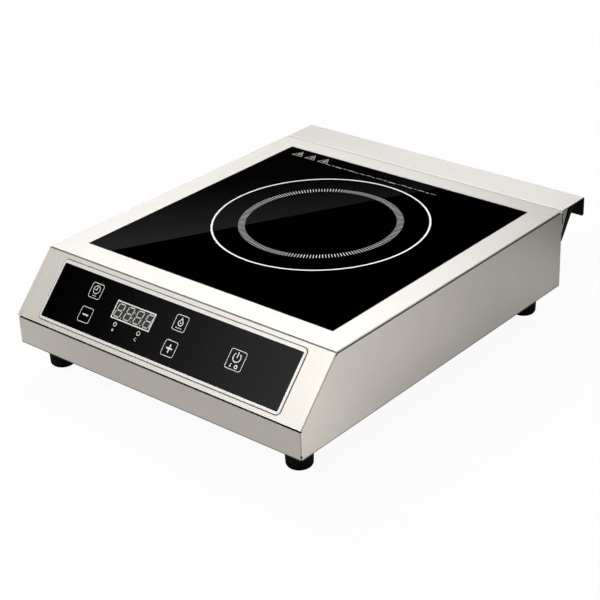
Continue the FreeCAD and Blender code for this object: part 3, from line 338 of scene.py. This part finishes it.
slot_materials = {
    "brushed_steel": brushed("steel_plain", (FINE, LONG, LONG), X),
    "bezel_metal": plain_metal("bezel_metal", (0.98, 0.975, 0.965), 0.36, contrast=0.02,
                               depth=0.002 * MM, metallic=0.3),
    "black_glass": polished_glass("black_glass", (0.0006, 0.0006, 0.0007)),
    "silicone": moulded("silicone", (0.020, 0.020, 0.021), 0.55),
    "foot_rubber": moulded("foot_rubber", (0.0025, 0.0025, 0.0025), 0.6, 0.7 * MM, 0.05 * MM,
                           {"Specular IOR Level": 0.08}),
    "zinc_sheet": zinc_sheet(),
    "black_plastic": moulded("black_plastic", (0.016, 0.016, 0.017), 0.45),
    "grey_plastic": moulded("grey_plastic", (0.24, 0.24, 0.25), 0.5),
    "circuit_board": circuit_board(),
    "enamelled_copper": enamelled_copper(),
    "ferrite": flaked("ferrite", (0.035, 0.035, 0.038), (0.075, 0.075, 0.08), 0.5 * MM, 0.55),
    "insulating_sheet": flaked("insulating_sheet", (0.62, 0.55, 0.40), (0.80, 0.74, 0.60),
                               3.5 * MM, 0.5),
    "aluminium": brushed("aluminium", (0.4 * MM, LONG, 0.4 * MM), X, (0.74, 0.75, 0.76), 0.36),
    "screw_steel": plain_metal("screw_steel", (0.60, 0.59, 0.57), 0.30),
    "brass": plain_metal("brass", (0.76, 0.55, 0.24), 0.28),
    "epoxy_black": moulded("epoxy_black", (0.022, 0.022, 0.024), 0.5, 0.3 * MM),
    "capacitor_film": moulded("capacitor_film", (0.42, 0.44, 0.46), 0.4),
    "yellow_wrap": striped("yellow_wrap", (0.75, 0.55, 0.06), (0.66, 0.46, 0.04), 3 * MM, "Z"),
    "capacitor_sleeve": moulded("capacitor_sleeve", (0.015, 0.03, 0.09), 0.3),
    "white_ceramic": moulded("white_ceramic", (0.78, 0.77, 0.73), 0.3),
    "red_lens": moulded("red_lens", (0.55, 0.02, 0.015), 0.12, 0.8 * MM, 0.01 * MM,
                        {"Transmission Weight": 0.4}),
    "lead_jacket": moulded("lead_jacket", (0.30, 0.03, 0.02), 0.42),
    "ribbon_grey": striped("ribbon_grey", (0.42, 0.42, 0.43), (0.30, 0.30, 0.31),
                           1.27 * MM, "X"),
    "panel_print": ink("panel_print", (0.93, 0.93, 0.915), 0.45, lustre=0.5),
}

# Zones of the folded sheets with painted light and shade: painted shade inside, a painted
# highlight on the guard's rim, painted shade on the bottom edge.
SKIN = 0.15 * MM             # clearance between a zone's box and the sheet's faces
INSIDE_DEPTH = 0.7 * MM      # a level sheet counts as inside from this far under its top
RIM_WIDTH = 2.0 * MM
EDGE_HEIGHT = 1.3 * MM
INSIDE_PAINTED_SHADE = 0.08
RIM_HIGHLIGHT = 1.12
EDGE_PAINTED_SHADE = 0.3
GUARD_PAINTED_SHADE = 0.875          # painted shade: the whole guard darker, against the other steel

cover_low, cover_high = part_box("top_cover")
shell_low, shell_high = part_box("body_shell")
guard_low, guard_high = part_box("rear_guard")
fold_y = front_y + NOSE_RUN + 1 * MM
# painted shade: the inside of the cover, and of the shell beneath it, made nearly black
under_cover_shade = (Vector((cover_low.x + SKIN, fold_y, 0)),
               Vector((cover_high.x - SKIN, cover_high.y - SKIN, cover_high.z - INSIDE_DEPTH)),
               INSIDE_PAINTED_SHADE)
# painted shade: the underside of the guard, made nearly black
under_guard_shade = (Vector((guard_low.x - SKIN, 0, 0)),
               Vector((guard_high.x + SKIN, guard_high.y - SKIN, guard_high.z - INSIDE_DEPTH)),
               INSIDE_PAINTED_SHADE)
# painted highlight: a lighter strip along the front rim of the guard
guard_rim_highlight = (guard_low - X * SKIN,
             Vector((guard_high.x + SKIN, guard_low.y + RIM_WIDTH, guard_high.z + SKIN)),
             RIM_HIGHLIGHT)
# painted shade: a darker strip along the shell's bottom edge
bottom_edge_shade = (shell_low - (X + Y + Z) * SKIN,
               Vector((shell_high.x + SKIN, shell_high.y, shell_low.z + EDGE_HEIGHT)),
               EDGE_PAINTED_SHADE)

node_materials = {
    "top_cover": brushed("steel_top", (FINE, LONG, LONG), X, painted_zones=[under_cover_shade]),
    "body_shell": brushed("steel_wrap", (LONG, LONG, FINE), Z, painted_zones=[under_cover_shade, bottom_edge_shade]),
    "rear_guard": brushed("steel_guard", (LONG, FINE, FINE), Y + Z, shade(STEEL, GUARD_PAINTED_SHADE),
                          painted_zones=[guard_rim_highlight, under_guard_shade]),
    "rear_louvre": moulded("louvre_black", (0.005, 0.005, 0.005), 0.6, 0.5 * MM, 0.03 * MM,
                           {"Specular IOR Level": 0.1}),
    "bezel_gasket": moulded("gasket_grey", (0.11, 0.108, 0.105), 0.55),
    "mains_leads": cores("mains_cores"),
}
unlit_segments = ink("unlit_segments", (0.82, 0.82, 0.81), 0.5)
display_ground = ink("display_ground", (0.017, 0.017, 0.018), 0.5)


def dress_nodes():
    """Gives every CAD node the procedural material of its slot."""
    slot_of = {part["node"]: part["material_slot"] for part in frame["record"]["subparts"]}
    for name, node in nodes.items():
        material = node_materials.get(name) or slot_materials[slot_of[name]]
        node.data.materials.clear()
        node.data.materials.append(material)


# ================================================================ printed graphics
class Face:
    """A flat face to print on: u to the right, v up along it, w out of it."""

    def __init__(self, origin, right, up):
        self.origin = origin
        self.right = right
        self.up = up
        self.out = right.cross(up)

    def at(self, u, v, w):
        return self.origin + self.right * u + self.up * v + self.out * w


class Print:
    """Thin closed inked shapes on a face, gathered into one piece."""

    def __init__(self, face, lift=PRINT_LIFT, height=PRINT_HEIGHT):
        self.face = face
        self.low = lift
        self.high = lift + height
        self.mesh = bmesh.new()

    def vertex(self, point, w):
        return self.mesh.verts.new(self.face.at(point[0], point[1], w))

    def line(self, points, width, closed=False):
        """A line of a given width through 2-D points, mitred at its corners."""
        points = [Vector(point) for point in points]
        count = len(points)
        sections = []
        for index, point in enumerate(points):
            runs = []
            if closed or index > 0:
                runs.append((point - points[index - 1]).normalized())
            if closed or index < count - 1:
                runs.append((points[(index + 1) % count] - point).normalized())
            sides = [Vector((-run.y, run.x)) for run in runs]
            mitre = sides[0] + sides[-1]
            mitre = mitre * (width / 2 / (1 + sides[0].dot(sides[-1])))
            edges = (point + mitre, point - mitre)
            sections.append([self.vertex(edges[0], self.low), self.vertex(edges[0], self.high),
                             self.vertex(edges[1], self.high), self.vertex(edges[1], self.low)])
        pairs = list(zip(sections, sections[1:]))
        if closed:
            pairs.append((sections[-1], sections[0]))
        else:
            self.mesh.faces.new(sections[0])
            self.mesh.faces.new(sections[-1])
        for first, second in pairs:
            for corner in range(4):
                after = (corner + 1) % 4
                self.mesh.faces.new((first[corner], first[after], second[after], second[corner]))

    def patch(self, points):
        """A filled shape inside 2-D points."""
        low = [self.vertex(point, self.low) for point in points]
        high = [self.vertex(point, self.high) for point in points]
        self.mesh.faces.new(low)
        self.mesh.faces.new(high)
        for index in range(len(points)):
            after = (index + 1) % len(points)
            self.mesh.faces.new((low[index], low[after], high[after], high[index]))

    def piece(self, name, material, slot="panel_print"):
        bmesh.ops.recalc_face_normals(self.mesh, faces=self.mesh.faces)
        data = bpy.data.meshes.new(name)
        self.mesh.to_mesh(data)
        self.mesh.free()
        data.materials.append(material)
        piece = placed(name, data)
        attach(piece, "casing")


def arc(centre, radius, start=0.0, end=2 * math.pi, step=ARC_STEP):
    """Points on an arc; a whole circle leaves out its last point, which is its first."""
    steps = max(2, round(abs(end - start) / step))
    whole = abs(end - start) > 2 * math.pi - 1e-6
    angles = [start + (end - start) * index / steps for index in range(steps + (not whole))]
    return [(centre[0] + radius * math.cos(angle), centre[1] + radius * math.sin(angle))
            for angle in angles]


def rounded_box(centre, width, height, corner):
    points = []
    for quarter, (sx, sy) in enumerate(((1, 1), (-1, 1), (-1, -1), (1, -1))):
        middle = (centre[0] + sx * (width / 2 - corner), centre[1] + sy * (height / 2 - corner))
        start = quarter * math.pi / 2
        points += arc(middle, corner, start, start + math.pi / 2, math.radians(15))
    return points


def shifted(centre, points):
    """Points given in millimetres about a centre."""
    return [(centre[0] + x * MM, centre[1] + y * MM) for x, y in points]


RING_RADIUS = 98.9 * MM
RING_LINE = 1.7 * MM
TICK_COUNT = 168
TICK_ENDS = (68.8, 75.1)             # radii in millimetres
TICK_LINE = 0.43 * MM
MARK_INSET = 10.7 * MM               # from the back edge of the glass to the triangles
MARK_PLACES = (-121.0, -105.0, -88.5)
MARK_LINE = 0.55 * MM
TRIANGLE = ((0, 5.5), (5.8, -4.6), (-5.8, -4.6))
BOLT = ((-0.8, -3.0), (0.8, -3.0), (1.8, 1.5), (0.2, 2.0))
DASH_START = -82.0 * MM
DASH_END = 47.5 * MM
DASH_DROP = 5.3 * MM                 # from the triangles to the row of dashes
DASH_GAP = 2.0 * MM
DASH_OVERRUN = 1.5 * MM
DASH_LENGTHS = (5.0, 2.6, 7.4, 3.4, 9.0, 2.0, 6.2)
DASH_OFFSETS = (0.0, 0.4, -0.3, 0.35, 0.1, -0.45)


def glass_prints():
    """The cooking ring, its band of ticks and the small marks at the back of the glass."""
    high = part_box("glass_top")[1]
    coil_low, coil_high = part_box("coil_winding")
    glass = Face(Vector((0, 0, high.z)), X, Y)
    centre = ((coil_low.x + coil_high.x) / 2, (coil_low.y + coil_high.y) / 2)
    white = slot_materials["panel_print"]

    ring = Print(glass)
    ring.line(arc(centre, RING_RADIUS, step=math.radians(1.5)), RING_LINE, closed=True)
    ring.piece("ring_print", white)

    ticks = Print(glass)
    for index in range(TICK_COUNT):
        angle = 2 * math.pi * index / TICK_COUNT
        ray = Vector((math.cos(angle), math.sin(angle)))
        ticks.line([Vector(centre) + ray * radius * MM for radius in TICK_ENDS], TICK_LINE)
    ticks.piece("tick_print", ink("tick_ink", (0.96, 0.96, 0.95), 0.45, lustre=0.6))

    marks = Print(glass)
    mark_y = high.y - MARK_INSET
    for mark_x in MARK_PLACES:
        spot = (mark_x * MM, mark_y)
        marks.line(shifted(spot, TRIANGLE), MARK_LINE, closed=True)
        marks.patch(shifted(spot, BOLT))
    dash_row(marks, mark_y - DASH_DROP)
    marks.piece("glass_marks", ink("mark_ink", (0.56, 0.56, 0.55), 0.45, lustre=0.4))


def dash_row(marks, row_y):
    """Dashes of uneven length, height and width, which stand for a line of small print."""
    x = DASH_START
    index = 0
    while x < DASH_END:
        length = min(DASH_LENGTHS[index % len(DASH_LENGTHS)] * MM, DASH_END - x + DASH_OVERRUN)
        y = row_y + DASH_OFFSETS[index % len(DASH_OFFSETS)] * MM
        marks.line([(x, y), (x + length, y)], (0.50 + 0.20 * (index % 3)) * MM)
        x += length + DASH_GAP
        index += 1


def timer_key(page, centre):
    """Clock face with its hands, over a short rule."""
    dial = shifted(centre, ((0, 1.1),))[0]
    page.line(arc(dial, 3.6 * MM), 0.7 * MM, closed=True)
    page.line(shifted(dial, ((0.2, 2.4), (0.2, -0.2), (-1.9, -0.2))), 0.75 * MM)
    page.line(shifted(centre, ((-2.2, -4.6), (2.2, -4.6))), 0.45 * MM)


def heat_key(page, centre):
    """A drop over a wavy rule."""
    bowl = shifted(centre, ((0, 0.1),))[0]
    drop = arc(bowl, 2.4 * MM, math.radians(-230), math.radians(50))
    drop += shifted(centre, ((0, 4.4),))
    page.line(drop, 0.8 * MM, closed=True)
    page.patch(arc(bowl, 0.7 * MM, step=math.radians(20)))
    page.line(shifted(centre, ((-3.6, -4.2), (-1.2, -4.6), (1.2, -4.2), (3.6, -4.6))), 0.5 * MM)


def minus_key(page, centre):
    page.line(shifted(centre, ((-3.4, 0), (3.4, 0))), SIGN_LINE)


def plus_key(page, centre):
    """The minus bar, with an upright stroke above and below it."""
    minus_key(page, centre)
    for end in (3.7, -3.7):
        start = math.copysign(SIGN_LINE / MM / 2, end)
        page.line(shifted(centre, ((0, start), (0, end))), SIGN_LINE)


def power_key(page, centre):
    """Broken ring and bar, with an upright bar and a small ring below for on and off."""
    dial = shifted(centre, ((0, 2.1),))[0]
    page.line(arc(dial, 3.9 * MM, math.radians(125), math.radians(415)), 0.85 * MM)
    page.line(shifted(dial, ((0, -0.2), (0, 4.7))), 0.95 * MM)
    page.line(shifted(centre, ((-3.2, -6.8), (-3.2, -3.8))), 1.0 * MM)
    page.line(arc(shifted(centre, ((2.6, -5.3),))[0], 1.35 * MM), 0.9 * MM, closed=True)


def digit(page, centre, width, height, bar, slant):
    """Seven straight bars of one unlit digit, leaning to the right."""
    half_w = width / 2
    half_h = height / 2
    gap = 0.62 * bar
    ends = [((-half_w, half_h), (half_w, half_h)), ((-half_w, 0), (half_w, 0)),
            ((-half_w, -half_h), (half_w, -half_h))]
    for x in (-half_w, half_w):
        ends += [((x, 0), (x, half_h)), ((x, -half_h), (x, 0))]
    for start, end in ends:
        start, end = Vector(start), Vector(end)
        trim = (end - start).normalized() * gap
        run = [start + trim, end - trim]
        page.line([(centre[0] + point.x + point.y * slant, centre[1] + point.y)
                   for point in run], bar)


def panel_face():
    up = Vector((0, math.cos(slope_angle), math.sin(slope_angle)))
    origin = Vector((0, front_y, nose_z)) + X.cross(up) * PANEL_PROUD
    return Face(origin, X, up)


FRAME_SIZE = (44.6 * MM, 15.4 * MM)
FRAME_LINE = 1.1 * MM
GROUND_INSET = (1.4 * MM, 1.2 * MM)  # from the frame's middle line to the dark ground
DIGIT_COUNT = 4
DIGIT_PITCH = 11.4 * MM
DIGIT_SHIFT = 0.7 * MM               # the row of digits sits this much right of the middle
DIGIT_SIZE = (6.8 * MM, 11.6 * MM)
DIGIT_BAR = 1.0 * MM
DIGIT_SLANT = 0.15
POINT_PLACE = (4.9 * MM, -5.8 * MM)  # decimal point, from its digit's middle
COLON_RISE = 2.6 * MM
LAMP_PLACES = (-53.6, -25.8)
LAMP_RISE = 23.6 * MM


def centred_box(centre, width, height):
    half = (width / 2, height / 2)
    return box_corners((centre[0] - half[0], centre[1] - half[1]),
                       (centre[0] + half[0], centre[1] + half[1]))


def dot(page, centre, radius):
    page.patch(arc(centre, radius, step=math.radians(45)))


def key_prints(face, white):
    """Each key's outline and symbol, over its spring."""
    keys = {                         # symbol, place on the panel and size in millimetres
        "timer_key": (timer_key, -90.0, 44.4, 13.5),
        "minus_key": (minus_key, -89.7, 21.8, 13.5),
        "heat_key": (heat_key, 10.5, 44.4, 13.5),
        "plus_key": (plus_key, 10.8, 21.6, 13.5),
        "power_key": (power_key, 78.5, 32.8, 16.6),
    }
    for name, (draw, u, v, size) in keys.items():
        page = Print(face)
        centre = (u * MM + PRINT_SHIFT, v * MM)
        page.line(rounded_box(centre, size * MM, size * MM, KEY_CORNER), KEY_LINE, closed=True)
        draw(page, centre)
        page.piece(name + "_print", white)


def display_prints(face, white):
    """The display's frame, its dark ground and four unlit digits."""
    width, height = FRAME_SIZE
    window = Print(face)
    window.line(centred_box(DISPLAY_CENTRE, width, height), FRAME_LINE, closed=True)
    window.piece("display_frame_print", white)
    ground = Print(face, PRINT_LIFT / 2, PRINT_LIFT / 4)
    ground.patch(centred_box(DISPLAY_CENTRE, width - 2 * GROUND_INSET[0],
                             height - 2 * GROUND_INSET[1]))
    ground.piece("display_ground_print", display_ground, "grey_plastic")

    digits = Print(face)
    for index in range(DIGIT_COUNT):
        u = DISPLAY_CENTRE[0] + (index - (DIGIT_COUNT - 1) / 2) * DIGIT_PITCH + DIGIT_SHIFT
        digit(digits, (u, DISPLAY_CENTRE[1]), *DIGIT_SIZE, DIGIT_BAR, DIGIT_SLANT)
        if index < DIGIT_COUNT - 1:
            dot(digits, (u + POINT_PLACE[0], DISPLAY_CENTRE[1] + POINT_PLACE[1]), 0.55 * MM)
    for rise in (-COLON_RISE, COLON_RISE):
        dot(digits, (DISPLAY_CENTRE[0] + rise * DIGIT_SLANT, DISPLAY_CENTRE[1] + rise), 0.65 * MM)
    digits.piece("display_digits", unlit_segments, "grey_plastic")


def panel_prints():
    """Keys, display window and lamp marks on the control panel's glass."""
    face = panel_face()
    white = slot_materials["panel_print"]
    key_prints(face, white)
    display_prints(face, white)

    lamps = Print(face)
    for u in LAMP_PLACES:
        lamps.line(arc((u * MM, LAMP_RISE), 1.7 * MM, step=math.radians(12)), 0.6 * MM,
                   closed=True)
    lamps.patch(shifted((-53.8 * MM, 18.2 * MM), ((0, 1.6), (-1.1, 0), (0, -1.3), (1.1, 0))))
    lamps.line(arc((-26.0 * MM, 18.0 * MM), 1.3 * MM, math.radians(60), math.radians(330),
                   math.radians(15)), 0.42 * MM)
    lamps.piece("lamp_marks", white)


# ================================================================ studio
FLOOR_REACH = 9.0
FLOOR_DROP = 0.2 * MM
ROOM_STRENGTH = 0.44
ROOM_COLOUR = (1.0, 0.975, 0.925)
WARM_GREY = (1.0, 0.962, 0.922)

# How light the floor looks in the metal: along one measure, between two places in metres, the
# tone goes from the first factor to the second.
FLOOR_TONES = (
    ("y", 0.22, 0.45, 1.0, 0.35),
    ("x", 0.185, 0.265, 0.77, 1.32),
    ("beside", 0.06, 0.16, 1.0, 1.34),
    ("y", 0.25, 0.32, 1.0, 0.60),
    ("y", -0.14, -0.04, 1.30, 1.04),
    ("y", -0.24, -0.20, 1.08, 1.0),
    ("x", -0.20, -0.12, 0.90, 1.0),
)
BASE_TONE = 0.67
SHADOW_X = (-0.163, 0.163)           # the hob's footprint, where the floor's reflection has a painted shadow
SHADOW_Y = (-0.205, 0.166)
SHADOW_FADE = 0.008
SHADOW_DEPTH = 0.85

# What the polished glass mirrors: strengths at shares of the way along each card.
GLASS_GREYS = ((0.0, 0.002), (0.30, 0.007), (0.40, 0.020), (0.48, 0.035), (0.57, 0.063),
               (0.64, 0.074), (0.75, 0.125), (0.85, 0.15))
PANEL_GREYS = ((0.0, 0.006), (0.05, 0.012), (0.25, 0.050), (0.43, 0.145), (0.64, 0.275),
               (0.9, 0.52), (1.0, 0.60))
GREY_EDGE = ((23.6, 112.7), (-109.8, -129.0))   # two points, in mm, on the grey's right edge
GREY_RUN = 260 * MM                  # over which the glass goes through its greys
GLASS_REACH = 70 * MM                # how far the mirrored cards reach past the glass
PANEL_REACH = 25 * MM
GREY_DEPTH = 2.0                     # how many times further than the face each card stands
PANEL_DEPTH = 2.2
FLAG_DEPTH = 2.6

LIGHT_TARGET = (0, 0, 0.05)
SOFTBOXES = (                        # name, place, width, height, power, colour
    ("back_box", (-1.62, 1.60, 1.95), 2.0, 1.1, 24.8, (0.99, 0.99, 1.0)),
    ("front_box", (-0.30, -1.50, 1.65), 2.0, 0.8, 17.3, (1.0, 0.985, 0.955)),
)

CAMERA_AZIMUTH = math.radians(41.209)
CAMERA_ELEVATION = math.radians(27.212)
CAMERA_ROLL = math.radians(-2.427)
CAMERA_DISTANCE = 1.4541
CAMERA_LENS = 95.773
AIM_OFFSET = Vector((-0.96, -11.38, -15.89)) * MM   # from the middle of the CAD box


class StudioNetwork(Network):
    """A network that starts from an empty tree, for the floor, the cards and the world."""

    def __init__(self, tree):
        super().__init__(tree)
        tree.nodes.clear()

    def maths(self, operation, first, second):
        return self.add("ShaderNodeMath", {0: first, 1: second}, operation=operation).outputs[0]

    def product(self, first, *others):
        for other in others:
            first = self.maths("MULTIPLY", first, other)
        return first

    def without(self, share):
        return self.maths("SUBTRACT", 1.0, share)

    def ramp(self, value, low, high, out_low, out_high):
        """Smooth step of a value from one level to another."""
        node = self.add("ShaderNodeMapRange", {
            "Value": value, "From Min": low, "From Max": high,
            "To Min": out_low, "To Max": out_high}, interpolation_type="SMOOTHSTEP")
        return node.outputs["Result"]

    def stretch(self, value, low, high, fade):
        """1 between two levels, fading to 0 at each."""
        return self.product(self.ramp(value, low, low + fade, 0.0, 1.0),
                            self.ramp(value, high - fade, high, 1.0, 0.0))

    def split(self, vector):
        return self.add("ShaderNodeSeparateXYZ", {"Vector": vector}).outputs

    def position(self):
        return self.add("ShaderNodeNewGeometry").outputs["Position"]

    def mixed(self, share, first, second):
        return self.add("ShaderNodeMixShader", {0: share, 1: first, 2: second}).outputs["Shader"]

    def glow(self, strength, colour=(1, 1, 1)):
        return self.add("ShaderNodeEmission", {"Strength": strength,
                                               "Color": (*colour, 1)}).outputs["Emission"]


def studio_material(name):
    material = new_material(name)
    return material, StudioNetwork(material.node_tree)


def stage_object(name, data, material):
    piece = placed(name, data)
    data.materials.append(material)
    return piece


def polygon(name, corners):
    data = bpy.data.meshes.new(name)
    data.from_pydata([tuple(corner) for corner in corners], [], [range(len(corners))])
    return data


def floor():
    """White sweep with a faint shadow. Metal sees a painted reflection of it: a warm grey glow
    toned by FLOOR_TONES, with painted shade at the front right corner and a nearly black painted
    shadow under the hob."""
    material, net = studio_material("floor")
    x, y, _ = net.split(net.position())
    beside = net.maths("SUBTRACT", y, net.product(net.maths("SUBTRACT", x, 0.16), 1.1))
    measures = {"x": x, "y": y, "beside": beside}
    right = net.ramp(x, 0.12, 0.18, 0.0, 1.0)
    along = net.ramp(beside, -0.30, 0.22, 0.26, -0.20)
    # painted shade in the floor's reflection, at the front right corner
    corner = net.product(net.ramp(x, 0.150, 0.185, 0.0, 1.0),
                         net.ramp(y, -0.225, -0.195, 0.6, 0.0))
    painted_shadow = net.product(net.stretch(x, *SHADOW_X, SHADOW_FADE),
                          net.stretch(y, *SHADOW_Y, SHADOW_FADE), SHADOW_DEPTH)
    tone = net.maths("ADD", net.product(right, along), BASE_TONE)
    tone = net.product(tone, net.without(corner))
    for measure, *levels in FLOOR_TONES:
        tone = net.product(tone, net.ramp(measures[measure], *levels))
    tone = net.product(tone, net.without(painted_shadow))
    seen = net.add("ShaderNodeLightPath").outputs
    paper = net.add("ShaderNodeBsdfDiffuse", {"Color": (0.86, 0.86, 0.855, 1)}).outputs["BSDF"]
    bright = net.mixed(net.product(seen["Is Camera Ray"], 0.9), paper, net.glow(1.04))
    shown = net.mixed(seen["Is Glossy Ray"], bright, net.glow(tone, WARM_GREY))
    net.add("ShaderNodeOutputMaterial", {"Surface": shown})
    corners = box_corners((-FLOOR_REACH, -FLOOR_REACH), (FLOOR_REACH, FLOOR_REACH))
    piece = stage_object("floor", polygon("floor", [(*corner, 0) for corner in corners]), material)
    piece.location.z = cad_low.z - FLOOR_DROP


def card(name, corners, stops, start=Vector(), end=X):
    """A reflector that only polished glass sees. Its strength is given at stops from start
    to end, as pairs of a share of the way and a strength."""
    material, net = studio_material(name)
    run = end - start
    away = net.add("ShaderNodeVectorMath", {0: net.position(), 1: start}, operation="SUBTRACT")
    along = net.add("ShaderNodeVectorMath", {0: away.outputs[0], 1: run / run.length_squared},
                    operation="DOT_PRODUCT")
    ramp = net.add("ShaderNodeValToRGB", {"Fac": along.outputs["Value"]})
    elements = ramp.color_ramp.elements
    while len(elements) < len(stops):
        elements.new(0.5)
    for element, (place, strength) in zip(elements, stops):
        element.position = place
        element.color = (strength, strength, strength, 1)
    clear = net.add("ShaderNodeBsdfTransparent").outputs["BSDF"]
    polished = net.add("ShaderNodeLightPath").outputs["Is Singular Ray"]
    shine = net.add("ShaderNodeEmission", {"Color": ramp.outputs["Color"]}).outputs["Emission"]
    shown = net.mixed(polished, clear, shine)
    net.add("ShaderNodeOutputMaterial", {"Surface": shown})
    piece = stage_object(name, polygon(name, corners), material)
    piece.visible_camera = False
    piece.visible_diffuse = False
    piece.visible_shadow = False
    piece.visible_transmission = False


def softbox(name, position, width, height, power, colour):
    light = bpy.data.lights.new(name, "AREA")
    light.shape = "RECTANGLE"
    light.size = width
    light.size_y = height
    light.energy = power
    light.color = colour
    lamp = placed(name, light)
    lamp.location = position
    lamp.rotation_mode = "QUATERNION"
    lamp.rotation_quaternion = (Vector(LIGHT_TARGET) - Vector(position)).to_track_quat("-Z", "Y")


def surroundings():
    """White behind the object; for everything else an even grey room, dark overhead."""
    world = bpy.data.worlds.new("studio")
    bpy.context.scene.world = world
    world.use_nodes = True
    net = StudioNetwork(world.node_tree)
    _, y, z = net.split(net.add("ShaderNodeTexCoord").outputs["Generated"])
    overhead = net.product(net.ramp(y, -0.38, -0.25, 0.0, 1.0), net.ramp(y, 0.36, 0.5, 1.0, 0.0),
                           net.ramp(z, 0.35, 0.55, 0.0, 1.0))
    strength = net.product(net.without(overhead), ROOM_STRENGTH)
    room = net.add("ShaderNodeBackground", {"Strength": strength,
                                            "Color": (*ROOM_COLOUR, 1)}).outputs["Background"]
    white = net.add("ShaderNodeBackground", {"Strength": 1.0}).outputs["Background"]
    seen = net.add("ShaderNodeLightPath").outputs["Is Camera Ray"]
    net.add("ShaderNodeOutputWorld", {"Surface": net.mixed(seen, room, white)})


def camera():
    aim = (cad_low + cad_high) / 2 + AIM_OFFSET
    back = Vector((math.sin(CAMERA_AZIMUTH) * math.cos(CAMERA_ELEVATION),
                   -math.cos(CAMERA_AZIMUTH) * math.cos(CAMERA_ELEVATION),
                   math.sin(CAMERA_ELEVATION)))
    data = bpy.data.cameras.new("camera")
    data.lens = CAMERA_LENS
    data.sensor_width = 36.0
    data.clip_start = 0.05
    data.clip_end = 60.0
    view = placed("camera", data)
    view.location = aim + back * CAMERA_DISTANCE
    view.rotation_mode = "QUATERNION"
    turn = (-back).to_track_quat("-Z", "Y")
    view.rotation_quaternion = turn @ Quaternion(Z, CAMERA_ROLL)
    bpy.context.scene.camera = view
    return view


def mirrored(point, plane_point, normal):
    return point - normal * (2 * (point - plane_point).dot(normal))


def thrown(eye, point, depth):
    """Where a sight line from a mirrored eye through a point meets a card further out."""
    return eye + (point - eye) * depth


def glass_reflection(view):
    """Cards whose mirror images cover the glass: black, with a graded grey back left part."""
    low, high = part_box("glass_top")
    eye = mirrored(view.location, Vector((0, 0, high.z)), Z)
    outer = box_corners((low.x - GLASS_REACH, low.y - GLASS_REACH),
                        (high.x + GLASS_REACH, high.y + GLASS_REACH))
    outer = [Vector((x, y, high.z)) for x, y in outer]
    edge = [Vector((x * MM, y * MM, high.z)) for x, y in GREY_EDGE]
    slope = (edge[0].x - edge[1].x) / (edge[0].y - edge[1].y)

    def on_edge(y):
        return Vector((edge[0].x + (y - edge[0].y) * slope, y, high.z))

    patch = [on_edge(low.y - GLASS_REACH), on_edge(high.y + GLASS_REACH), outer[3], outer[0]]
    start = Vector((low.x, high.y, high.z))
    end = start + Vector((1, -1, 0)).normalized() * GREY_RUN
    card("grey_card", [thrown(eye, point, GREY_DEPTH) for point in patch], GLASS_GREYS,
         thrown(eye, start, GREY_DEPTH), thrown(eye, end, GREY_DEPTH))
    card("dark_flag", [thrown(eye, point, FLAG_DEPTH) for point in outer],
         ((0.0, 0.0), (1.0, 0.0)))


def panel_reflection(view):
    """A card that darkens towards the left end of the control panel."""
    face = panel_face()
    eye = mirrored(view.location, face.origin, face.out)
    low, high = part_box("control_glass")
    width = high.x + PANEL_REACH
    length = (high - low).yz.length
    patch = [face.at(u, v, 0) for u, v in box_corners((-width, -PANEL_REACH),
                                                      (width, length + PANEL_REACH))]
    card("panel_card", [thrown(eye, point, PANEL_DEPTH) for point in patch], PANEL_GREYS,
         thrown(eye, face.at(low.x, 0, 0), PANEL_DEPTH),
         thrown(eye, face.at(high.x, 0, 0), PANEL_DEPTH))


def studio():
    view = camera()
    surroundings()
    floor()
    for settings in SOFTBOXES:
        softbox(*settings)
    glass_reflection(view)
    panel_reflection(view)
    bpy.context.scene.view_settings.view_transform = "Standard"


dress_nodes()
glass_prints()
panel_prints()
studio()
